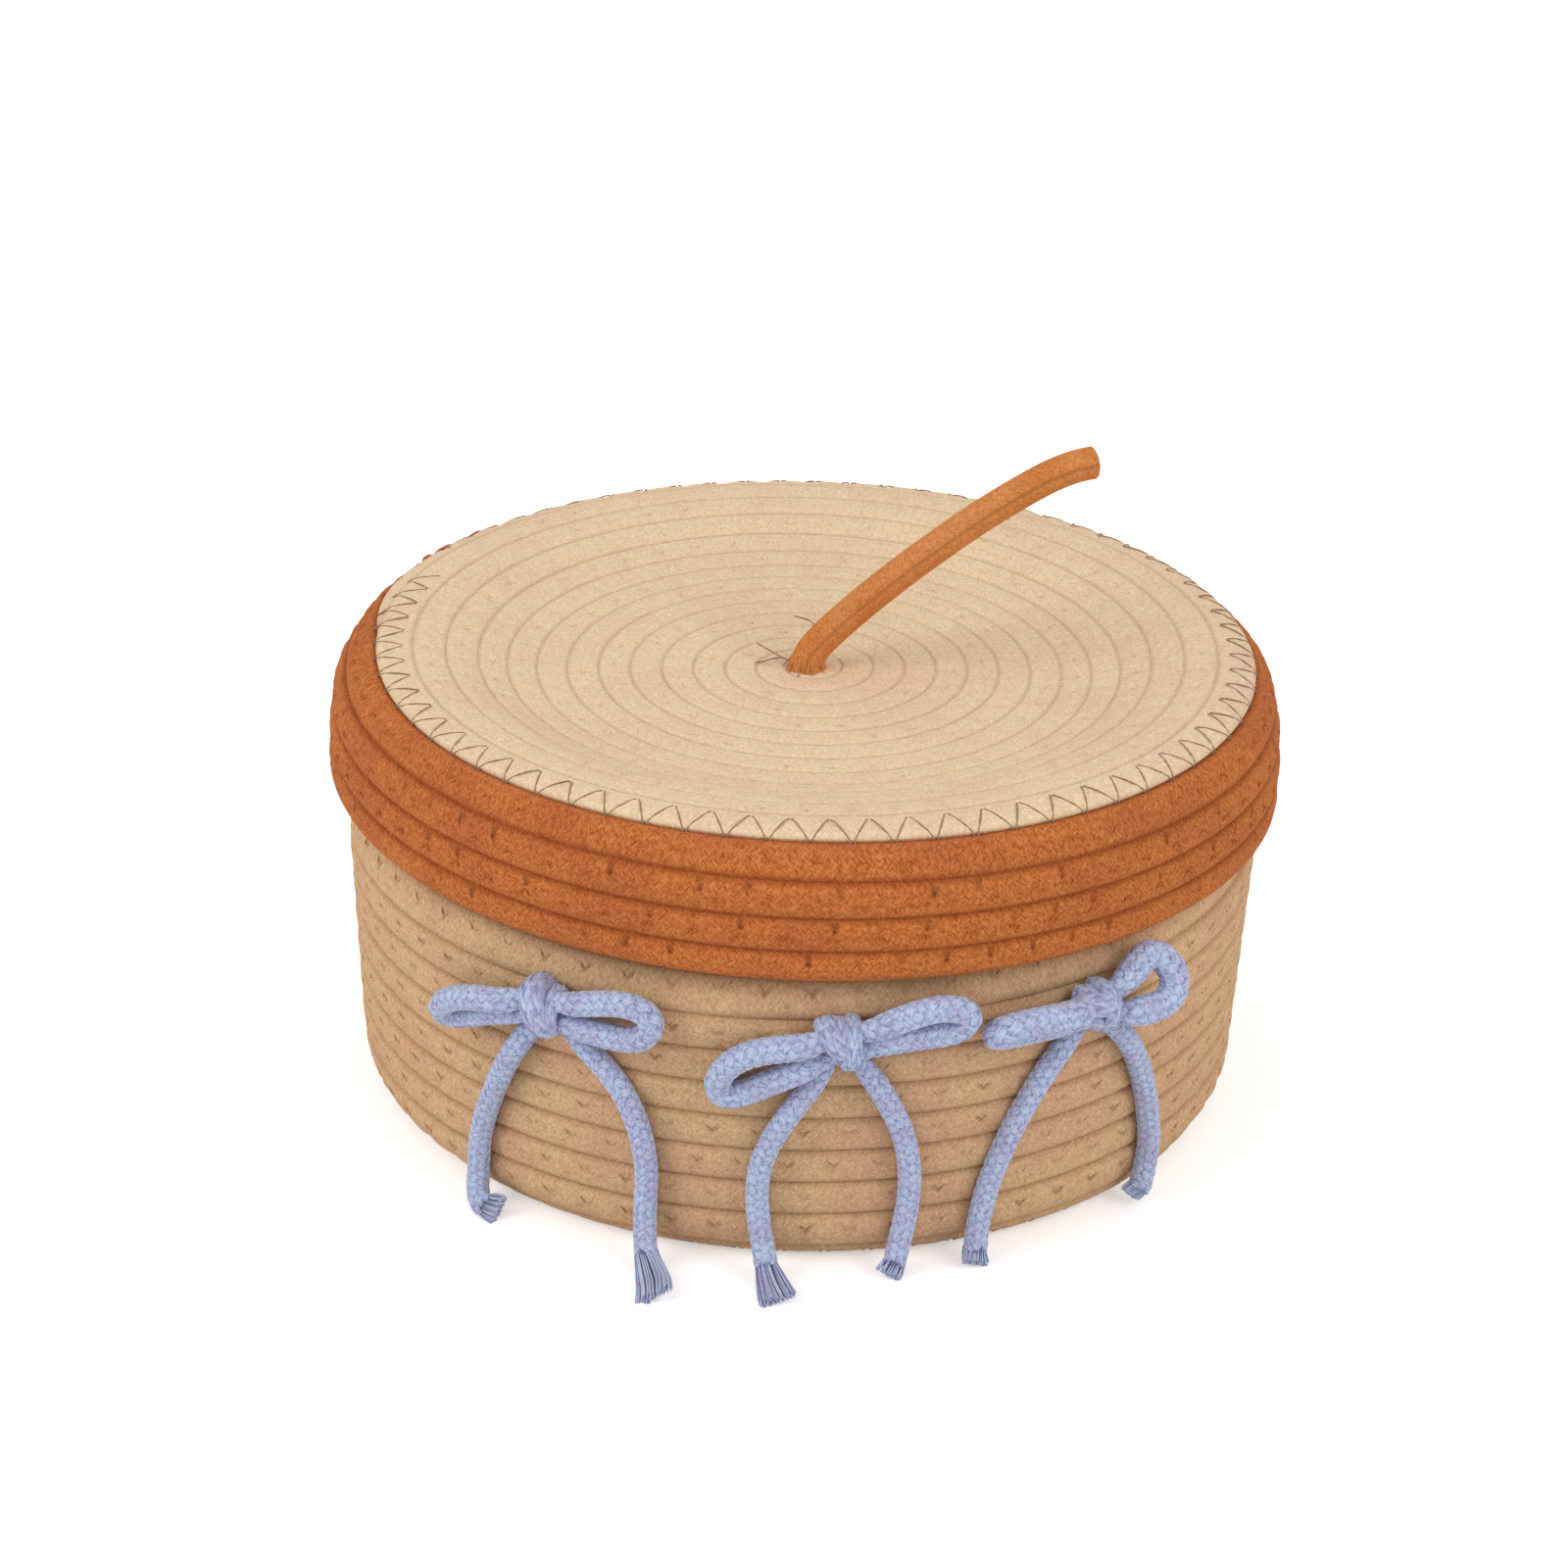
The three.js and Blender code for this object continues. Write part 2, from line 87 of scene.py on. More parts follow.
# Sewing. A stitch reaches into the course before a groove and into the course after it. Its two
# legs cross the groove at legs_meet of its length from either end. The needle draws the rope in
# at its holes, and the thread sinks into the rope.
stitch_length = 10.4 * mm
thread_diameter = 0.4 * mm
thread_sides = 4
thread_sink = 0.4 * thread_diameter
lid_thread_sink = 0.5 * mm
sewn_from = 0.4
reach_in = 4.1 * mm
reach_out = 2.7 * mm
needle_dip = 0.3
legs_meet = 0.43
dent_depth = 0.6 * mm
dent_reach = 3 * mm
seam_stitch_length = 9.5 * mm
seam_reach_in = 5.8 * mm
seam_reach_out = 2.7 * mm
seam_thread_diameter = 0.36 * mm
seam_thread_sink = 0.02 * mm

# Stem. Its route is in millimetres sideways and up from the middle of the dish's top face.
stem_diameter = 8 * mm
stem_sides = 28
stem_step, stem_end_step = 1 * mm, 0.3 * mm
stem_end_round = 1.8 * mm
foot_spread = 0.3
foot_height = 4.5 * mm
stem_route = [
    (0, -0.8), (0.1, 1), (0.9, 3.6), (3.1, 6.8), (6.6, 10.7), (13.6, 17.7), (22.9, 26.2),
    (32.3, 34.1), (41.4, 41.3), (50.6, 47.8), (58, 52.4), (63.8, 55), (69.2, 56.4),
]

# Tacking stitches hold the stem's foot all round, at these degrees. The points of one are how
# far out it lies along X and along Y, and how high, in millimetres. Three cut ends stand off.
tack_angles = (100, 140, 178, 215, 250, 285, 320)
tack_shape = [(3.4, 3.6, 3.2), (4.4, 4.4, 1.6), (5.6, 5.6, 0.3), (6.2, 6.2, -0.7)]
tack_shift = -0.1
tack_ends = [
    [(-4.0, 0.4, 1.0), (-6.4, 1.6, 1.6), (-9.4, 3.6, 2.4), (-12.6, 6.4, 3.0)],
    [(-6.4, 1.4, 1.4), (-8.6, 1.8, 1.0), (-10.4, 1.2, 0.5), (-12.7, 0.6, 0.3)],
    [(2.6, 0, 9.6), (0.6, 0.6, 11.8), (-1.4, 1.0, 12.4), (-3.4, 1.2, 12.8)],
]
tack_thread = 0.42 * mm
tack_sides = 6
tack_step = 0.5 * mm

# Coarse rust yarn tacks the cut end of the rust rope under the edge of the cream one, at the
# share splice_course across the course. Each tack has its first and last degree past the seam
# and its own millimetres further across, and its ends are sunk into the rope.
splice_tacks = [(7, 11.5, 0.3), (12.5, 14.5, -0.4), (1.5, 4.0, 0.2)]
splice_yarn = 1.5 * mm
splice_course = 0.72
yarn_sink, yarn_end_sink = 0.1 * mm, 0.7 * mm

# Bow cord and knots. A knot grips the cord, which swells again over the grip's length. As many
# strands wind one way round the cord as the other.
cord_diameter = 5.8 * mm
cord_gap = 0.3 * mm
cord_step = 0.7 * mm
wall_facets = 20
loop_points = 20
loop_end_scale = 0.76
loop_root_gap = 0.3 * mm
loop_root_inset = 2.4 * mm
loop_root_lift = 4.5 * mm
loop_reach_power = 0.65
knot_depth = 11.4 * mm
knot_grip = 8 * mm
strand_sides, core_sides = 8, 10
loose_braid = {
    "Diameter": cord_diameter, "Lay": 21 * mm, "Strands": 8, "Strand Width": 2.4 * mm,
    "Strand Thickness": 0.95 * mm, "Crossing": 0.3 * mm, "Step": 0.6 * mm, "Flatness": 1.0,
    "Core": 3.9 * mm,
}
tight_braid = {
    **loose_braid, "Lay": 34 * mm, "Strand Width": 2.3 * mm, "Crossing": 0.1 * mm,
    "Flatness": 0.62, "Core": 4.9 * mm,
}

# Undone ends. The fibres start within a share of the cord's radius, fill a share of their lock's
# width, open and settle by a power of the way along, and end in a layer on what they lie on.
fibre_diameter = 0.3 * mm
fibre_sides = 5
fray_root = 0.85
lock_fill = 0.85
opening_power = 1.15
settling_power = 0.8
layer_depth = 0.3
layer_height = -0.6

# The photo's camera. Its target is the middle of the object, and the photo's middle lies beside it.
camera_distance = 1300 * mm
camera_lift = math.radians(26.06)
camera_roll = math.radians(1.6)
camera_target = Vector((0, 0, 55 * mm))
aim_right, aim_up = -4.37 * mm, 18 * mm
camera_lens = 119.05

# Light. The camera sees the surroundings and the floor brighter than they light the object. Two
# soft boxes, each with its power and its place, stand to the left and to the right.
surroundings_light = 0.66
floor_grey = 0.9
floor_glow = 0.42
soft_box_size = 0.9
soft_box_aim = (0, 0, 0.05)
soft_boxes = {"left_box": (8.4, (-1.1, -0.7, 1.0)), "right_box": (7, (1.1, -0.8, 1.0))}

# Each bow has its place on the wall, two loops and two tails. A loop has its reach, the
# distance between its two strands, how it slopes and droops, how far it turns edge on and
# how far its tip stands off the wall, and the cord of both is as full as loop_fullness. A tail
# is a list of points: distance round the wall from the knot, height above the
# table, distance off the wall. Its fray is the length at its end that has come undone, the
# width that this spreads over, its locks, its fibres and a seed. A knot's turns have their
# width and their points: distance round the wall, height above the knot's middle and distance
# off the wall. Lengths are in millimetres.
bows = {
    "bow_left": {
        "azimuth": 240.1, "height": 63.6, "loop_fullness": 1.1,
        "loops": {
            "left": {"reach": 28.4, "opening": 8, "slope": -0.05, "droop": 9.3, "twist": 40,
                     "tip_lift": 5},
            "right": {"reach": 26.4, "opening": 9.6, "slope": 0.1, "droop": 0, "twist": 10,
                      "tip_lift": 3},
        },
        "tails": {
            "left": [
                (-2.9, 59.8, 0), (-3.8, 58.0, 0), (-6.6, 53.5, 0.3), (-10.9, 46.5, 0.4),
                (-16.0, 36.5, 0.4), (-20.4, 26.5, 0.4), (-23.0, 17.5, 0.4), (-23.6, 10.0, 0.6),
                (-22.6, 5.0, 1.8), (-19.4, 3.2, 3.6), (-15.0, 3.1, 3.2),
            ],
            "right": [
                (3.2, 59.6, 0), (5.2, 57.4, 0), (10.6, 53.0, 0.3), (16.4, 47.6, 0.4),
                (20.6, 41.0, 0.4), (23.2, 33.5, 0.4), (24.2, 25.5, 0.4), (24.0, 17.0, 0.5),
                (24.1, 9.6, 1.2), (25.4, 4.4, 4.2), (27.6, 3.1, 9.6), (29.4, 3.1, 15.0),
                (30.4, 3.1, 20.0),
            ],
        },
        "fray": {"left": (3, 8.4, 13, 220, 1), "right": (16, 10.2, 5, 230, 2)},
        "knot": [
            (6.4, [(-2.6, 4.2, -2), (-2.4, 5.0, 1.6), (-1.8, 4.3, 5.2), (-0.6, 1.6, 6.9),
                   (0.4, -1.6, 6.9), (0.9, -4.4, 5.0), (0.8, -5.2, 1.4), (0.6, -4.2, -2)]),
            (3.4, [(3.0, 3.2, 2.2), (3.4, 2.6, 5.0), (3.5, 0, 6.6), (3.2, -2.8, 6.2),
                   (2.8, -4.9, 3.6), (2.4, -4.6, 0)]),
            (5.0, [(1.6, 3.4, -1), (1.8, 3.2, 2.6), (1.9, 1.0, 4.6), (1.9, -1.4, 4.6),
                   (1.7, -3.2, 2.4), (1.6, -3.4, -1)]),
        ],
    },
    "bow_middle": {
        "azimuth": 275.4, "height": 64.4, "loop_fullness": 1.14,
        "loops": {
            "left": {"reach": 27.6, "opening": 11.4, "slope": -0.23, "droop": 6.6, "twist": 15,
                     "tip_lift": 2.2},
            "right": {"reach": 27.3, "opening": 7.8, "slope": 0.39, "droop": 5.6, "twist": 25,
                      "tip_lift": 3.5},
        },
        "tails": {
            "left": [
                (-2.8, 60.4, 0), (-3.8, 57.4, 0), (-7.2, 51.4, 0.3), (-12.0, 43.6, 0.4),
                (-15.6, 36.2, 0.4), (-17.8, 29.2, 0.4), (-18.4, 22.4, 0.4), (-18.0, 15.6, 0.5),
                (-16.8, 8.8, 1.3), (-15.6, 4.2, 4.4), (-14.4, 3.1, 9.4), (-13.0, 3.1, 14.8),
            ],
            "right": [
                (3.2, 60.0, 0), (4.9, 56.8, 0), (8.7, 50.8, 0.3), (12.4, 43.8, 0.4),
                (15.3, 36.2, 0.4), (16.7, 28.6, 0.4), (17.0, 21.6, 0.4), (16.4, 14.8, 0.5),
                (15.2, 8.2, 0.9), (14.0, 4.0, 2.2), (12.6, 3.1, 5.0),
            ],
        },
        "fray": {"left": (12, 10, 7, 220, 3), "right": (2, 6.4, 11, 190, 4)},
        "knot": [
            (4.2, [(2.0, 4.0, -2), (2.0, 4.9, 1.6), (1.8, 4.2, 5.4), (1.7, 1.5, 7.1),
                   (1.5, -1.5, 7.1), (1.2, -4.2, 5.4), (1.0, -5.2, 1.6), (1.0, -4.2, -2)]),
            (5.4, [(-3.4, 3.2, -2), (-4.2, 4.6, 1.4), (-3.9, 4.2, 4.4), (-2.4, 2.2, 6.4),
                   (-0.2, 0, 6.3), (1.6, -1.0, 4.4)]),
            (5.4, [(-1.0, 3.6, -1), (-1.0, 4.0, 2.4), (-0.8, 2.6, 5.0), (-0.4, 0, 5.4),
                   (-0.2, -2.6, 4.2), (0, -3.8, 1.0)]),
        ],
    },
    "bow_right": {
        "azimuth": 306.5, "height": 64.6, "loop_fullness": 1.26,
        "loops": {
            "left": {"reach": 26.6, "opening": 8.6, "slope": 0, "droop": 0, "twist": 50,
                     "tip_lift": 4.6},
            "right": {"reach": 18.5, "opening": 11, "slope": 0.24, "droop": 0, "twist": -20,
                      "tip_lift": 8},
        },
        "tails": {
            "left": [
                (-2.8, 60.2, 0), (-4.0, 58.0, 0), (-7.2, 54.0, 0.3), (-11.2, 48.4, 0.4),
                (-15.0, 42.0, 0.4), (-18.4, 35.2, 0.4), (-21.2, 28.4, 0.4), (-23.6, 21.4, 0.4),
                (-25.2, 14.4, 0.5), (-26.4, 8.0, 0.9), (-27.0, 4.2, 2.2), (-27.2, 3.1, 4.8),
            ],
            "right": [
                (3.4, 60.2, 0), (5.4, 58.2, 0), (10.6, 53.2, 0.3), (15.6, 46.6, 0.4),
                (19.4, 39.6, 0.4), (22.2, 32.2, 0.4), (24.4, 24.6, 0.4), (25.8, 17.2, 0.4),
                (25.4, 10.8, 0.4), (24.0, 5.8, 0.5), (21.6, 3.3, 0.9),
            ],
        },
        "fray": {"left": (2.6, 7.4, 11, 190, 5), "right": (2, 6.4, 11, 190, 6)},
        "knot": [
            (6.0, [(-2.6, 3.0, -1), (-2.3, 3.2, 1.5), (-1.0, 1.5, 3.2), (0.5, -1.0, 3.2),
                   (1.4, -3.2, 1.5), (1.6, -3.4, -1)]),
            (5.4, [(-3.6, -0.6, 0), (-3.0, -1.6, 2.6), (-1.4, -3.0, 3.6), (0.2, -4.2, 2.4),
                   (0.6, -4.4, 0)]),
            (4.0, [(1.4, 4.0, -2), (1.4, 4.9, 1.6), (1.3, 4.2, 5.4), (1.2, 1.5, 7.1),
                   (1.1, -1.5, 7.1), (1.0, -4.2, 5.4), (1.0, -5.2, 1.6), (1.0, -4.2, -2)]),
            (5.8, [(-8.2, 0.4, 2.6), (-6.4, 2.0, 4.4), (-4.2, 2.9, 5.6), (-1.8, 2.6, 6.2),
                   (0.6, 1.6, 5.6), (2.0, 0.8, 4.0)]),
        ],
    },
}


class Profile:
    """A line in the plane of radius and height, made of straight runs and bends."""

    def __init__(self, radius, height):
        self.pieces = []
        self.length = 0
        self.end = (radius, height, 0)

    def straight(self, run):
        return self.add(run, 0)

    def bend(self, bend_radius, degrees):
        """Turns the line, towards up where the degrees are positive."""
        run = bend_radius * abs(math.radians(degrees))
        return self.add(run, math.copysign(1 / bend_radius, degrees))

    def add(self, run, curvature):
        self.pieces.append((self.length, self.end, curvature))
        self.length += run
        self.end = self.at(self.length)
        return self

    def at(self, distance):
        """The radius, the height and the heading, measured from outwards, at a distance."""
        begin, (radius, height, heading), curvature = [
            piece for piece in self.pieces if piece[0] <= max(distance, 0)
        ][-1]
        run = distance - begin
        turned = heading + run * curvature
        if curvature == 0:
            return radius + run * math.cos(heading), height + run * math.sin(heading), heading
        radius += (math.sin(turned) - math.sin(heading)) / curvature
        height -= (math.cos(turned) - math.cos(heading)) / curvature
        return radius, height, turned


neck_turn = math.degrees(math.acos(1 - neck_inset / (2 * neck_bend_radius)))
basket_line = (
    Profile(0, rope_thickness / 2 - base_cut)
    .straight(base_flat_radius)
    .bend(base_corner_radius, 90 - wall_lean)
    .straight(wall_run)
    .bend(neck_bend_radius, wall_lean + neck_turn)
    .bend(neck_bend_radius, -neck_turn)
    .straight(neck_run)
)
corner_top = base_flat_radius + base_corner_radius * math.radians(90 - wall_lean)
neck_radius = basket_line.end[0]
cad_stitch_gap = 0.6 * mm
wall_top = (
    basket_line.at(basket_line.length - end_taper_turns * basket_pitch)[1]
    + (basket_pitch - cad_stitch_gap) / 2
)

lid_radius = neck_radius + rope_thickness + lid_play
lid_height = wall_top + lid_seat_gap + rope_thickness / 2
rim_top_radius = lid_radius - rim_bulge_radius * (1 - math.cos(math.radians(rim_bulge_angle)))
disc_flat_radius = rim_top_radius - lid_corner_radius * math.cos(math.radians(rim_bulge_angle))
dish_bend_radius = dish_depth / 2 / (1 - math.cos(math.radians(dish_bend)))
dish_bends_run = 2 * dish_bend_radius * math.sin(math.radians(dish_bend))
dish_floor_radius = disc_flat_radius - dish_ledge - dish_bends_run
lid_line = (
    Profile(0, lid_height - dish_depth)
    .straight(dish_floor_radius)
    .bend(dish_bend_radius, dish_bend)
    .bend(dish_bend_radius, -dish_bend)
    .straight(dish_ledge)
)
disc_end = lid_line.length
lid_line.bend(lid_corner_radius, rim_bulge_angle - 90)
lid_line.bend(rim_bulge_radius, -rim_bulge_angle - rim_tuck_angle)
dish_face = lid_height - dish_depth + rope_thickness / 2


def linear(colour):
    """The linear colour of an sRGB hex value."""
    parts = [int(colour[i:i + 2], 16) / 255 for i in (1, 3, 5)]
    return (*[p / 12.92 if p <= 0.04045 else ((p + 0.055) / 1.055) ** 2.4 for p in parts], 1.0)


def placed(name, data):
    """A new object of the data, in the scene."""
    made = bpy.data.objects.new(name, data)
    scene.collection.objects.link(made)
    return made


def add_node(tree, kind, inputs=(), **settings):
    """Adds a node, sets its settings, and fills its inputs from values, sockets or nodes."""
    node = tree.nodes.new(kind)
    for name, value in settings.items():
        setattr(node, name, value)
    for key, value in inputs.items() if isinstance(inputs, dict) else enumerate(inputs):
        if isinstance(value, bpy.types.Node):
            value = next(output for output in value.outputs if output.enabled)
        if isinstance(value, bpy.types.NodeSocket):
            tree.links.new(value, node.inputs[key])
        else:
            node.inputs[key].default_value = value
    return node


def geometry_tree(name, **inputs):
    """A geometry tree with its inputs, each named and typed, and one output. Gives the tree, the
    inputs and what adds a node to it."""
    tree = bpy.data.node_groups.new(name, "GeometryNodeTree")
    tree.interface.new_socket("Geometry", in_out="OUTPUT", socket_type="NodeSocketGeometry")
    for label, kind in {"Geometry": "Geometry", **inputs}.items():
        tree.interface.new_socket(label, in_out="INPUT", socket_type="NodeSocket" + kind)
    add = partial(add_node, tree)
    return tree, add("NodeGroupInput").outputs, add


def dress(add, shape, material):
    """Ends a tree: makes all of its shape real and gives it its material."""
    whole = add("GeometryNodeRealizeInstances", [shape])
    add("NodeGroupOutput", [
        add("GeometryNodeSetMaterial", {"Geometry": whole, "Material": material})])


def place_parts(add):
    """How far each point lies along X, Y and Z."""
    return add("ShaderNodeSeparateXYZ", [add("GeometryNodeInputPosition")]).outputs


def kept_above(add, shape, place, lowest):
    """A shape moved to a place, but no lower than a height above the table."""
    parts = add("ShaderNodeSeparateXYZ", [place]).outputs
    height = add("ShaderNodeMath", [parts["Z"], lowest], operation="MAXIMUM")
    resting = add("ShaderNodeCombineXYZ", [parts["X"], parts["Y"], height])
    return add("GeometryNodeSetPosition", {"Geometry": shape, "Position": resting})


def cord_frame(add, path, label, distance):
    """A path that keeps, at each point, its way to the side, its way out and a distance along it
    under a label, and what reads the three again."""
    off = add("GeometryNodeInputNamedAttribute", ["off"], data_type="FLOAT_VECTOR")
    tangent = add("GeometryNodeInputTangent")
    across = add("ShaderNodeVectorMath", [tangent, off], operation="CROSS_PRODUCT")
    side = add("ShaderNodeVectorMath", [across], operation="NORMALIZE")
    out = add("ShaderNodeVectorMath", [side, tangent], operation="CROSS_PRODUCT")
    read = []
    for name, kind, value in (("side", "FLOAT_VECTOR", side), ("out", "FLOAT_VECTOR", out),
                              (label, "FLOAT", distance)):
        path = add("GeometryNodeStoreNamedAttribute",
                   {"Geometry": path, "Name": name, "Value": value}, data_type=kind)
        read.append(add("GeometryNodeInputNamedAttribute", [name], data_type=kind))
    return path, *read


def off_path(add, out, out_part, side, side_part):
    """How far a point lies off its path, from its parts outwards and to the side."""
    return add("ShaderNodeVectorMath", [
        add("ShaderNodeVectorMath", {0: out, "Scale": out_part}, operation="SCALE"),
        add("ShaderNodeVectorMath", {0: side, "Scale": side_part}, operation="SCALE")])


def polyline(name, *runs, **attributes):
    """A mesh of open lines through points, with the attributes' values at all the points."""
    points, edges = [], []
    for run in runs:
        edges += [(len(points) + i, len(points) + i + 1) for i in range(len(run) - 1)]
        points += [tuple(p) for p in run]
    mesh = bpy.data.meshes.new(name)
    mesh.from_pydata(points, edges, [])
    for label, values in attributes.items():
        values = np.asarray(values, np.float32)
        kind, field = ("FLOAT_VECTOR", "vector") if values.ndim == 2 else ("FLOAT", "value")
        mesh.attributes.new(label, kind, "POINT").data.foreach_set(field, values.ravel())
    return mesh


def made_by(tree, name, source, inputs, body):
    """What a tree makes of a source mesh, as a plain mesh that rides on a body. Its faces are
    turned outwards and shaded smooth."""
    maker = placed(name + "_maker", source)
    modifier = maker.modifiers.new(tree.name, "NODES")
    modifier.node_group = tree
    for item in tree.interface.items_tree:
        if item.in_out == "INPUT" and item.name in inputs:
            modifier[item.identifier] = inputs[item.name]
    graph = bpy.context.evaluated_depsgraph_get()
    mesh = bpy.data.meshes.new_from_object(
        maker.evaluated_get(graph), preserve_all_data_layers=True, depsgraph=graph)
    bpy.data.objects.remove(maker)
    mesh.name = name

    shape = bmesh.new()
    shape.from_mesh(mesh)
    bmesh.ops.recalc_face_normals(shape, faces=shape.faces)
    shape.to_mesh(mesh)
    shape.free()
    mesh.shade_smooth()
    piece = placed(name, mesh)
    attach(piece, body)
    return piece


class Winding:
    """A rope wound outwards course by course, and the count of the stitches in its grooves. Its
    courses lie a pitch apart, on the line from a number of turns to another."""

    def __init__(self, name, line, pitch, start, turns, outside, squareness, plumpness, shift=0):
        self.line, self.pitch, self.start, self.outside = line, pitch, start, outside
        self.first, self.last = turns
        self.squareness, self.plumpness, self.shift = squareness, plumpness, shift
        self.table = np.linspace(*turns, 2000)
        self.count = self.length_at(self.table, 1, stitch_length)
        self.curve = line_object(name + "_line", line, shift)

    def place(self, distance):
        return self.line.at(distance + self.shift)

    def length_at(self, turns, across, unit=1):
        """How long a line has become at each of some turns, in a unit. It lies across the course,
        at half a course for the middle of the rope and at a whole one for the groove beyond it."""
        radii = np.array([
            max(self.place(self.pitch * (turn + across))[0], self.pitch / 2) for turn in turns])
        steps = np.diff(turns) * (radii[1:] + radii[:-1]) / 2 * full_turn / unit
        return np.concatenate([[0], np.cumsum(steps)])

    def stitches(self, turns):
        """How many stitches the groove beyond a course has had after a number of turns."""
        return np.interp(turns, self.table, self.count)

    def shape(self, **more):
        return {"Line": self.curve, "Start": self.start, "Outside": self.outside,
                "Pitch": self.pitch, "Thickness": rope_thickness, "Squareness": self.squareness,
                "Plumpness": self.plumpness, **more}


def line_object(name, line, shift):
    """A profile as a curve object, drawn finely and carried on a little past its end."""
    distances = np.arange(shift, line.length + 2 * basket_pitch, 0.5 * mm)
    curve = bpy.data.curves.new(name, "CURVE")
    curve.dimensions = "3D"
    spline = curve.splines.new("POLY")
    spline.points.add(len(distances) - 1)
    for point, distance in zip(spline.points, distances):
        radius, height, _ = line.at(distance)
        point.co = (radius, 0, height, 1)
    return placed(name, curve)


def stitch_object(name, into, out_of, bends):
    """One stitch: its way round the groove, in stitches, its way across it, and how deep the
    needle drew it in. It bends over the rope at shares of the way from its needle hole."""
    leg = [(0, -into, needle_dip)]
    leg += [(legs_meet * bend, -into * (1 - bend), 0) for bend in bends]
    leg += [(legs_meet, 0, 0), (0.5, out_of, needle_dip)]
    points = leg + [(1 - way, across, dip) for way, across, dip in leg[-2::-1]]
    return placed(name, polyline(name, points))


def wind_up_tree():
    """Carries what is drawn flat, as turns, distance across the courses and height off the
    middle of the rope, onto the wound line."""
    tree, given, add = geometry_tree(
        "wind_up", Line="Object", Start="Float", Outside="Float", Lowest="Float")
    drawn = place_parts(add)
    line = add("GeometryNodeObjectInfo", {"Object": given["Line"]}).outputs["Geometry"]
    spot = add("GeometryNodeSampleCurve", {"Curves": line, "Length": drawn["Y"]}, mode="LENGTH")
    outwards = add("ShaderNodeVectorMath", [(0, 1, 0), spot.outputs["Tangent"]],
                   operation="CROSS_PRODUCT")
    height = add("ShaderNodeMath", [drawn["Z"], given["Outside"]], operation="MULTIPLY")
    lift = add("ShaderNodeVectorMath", {0: outwards, "Scale": height}, operation="SCALE")
    unturned = add("ShaderNodeVectorMath", [spot.outputs["Position"], lift])
    angle = add("ShaderNodeMath", [drawn["X"], full_turn, given["Start"]], operation="MULTIPLY_ADD")
    place = add("ShaderNodeVectorRotate", {"Vector": unturned, "Angle": angle},
                rotation_type="Z_AXIS")
    add("NodeGroupOutput", [kept_above(add, given["Geometry"], place, given["Lowest"])])
    return tree


wind_up = wind_up_tree()


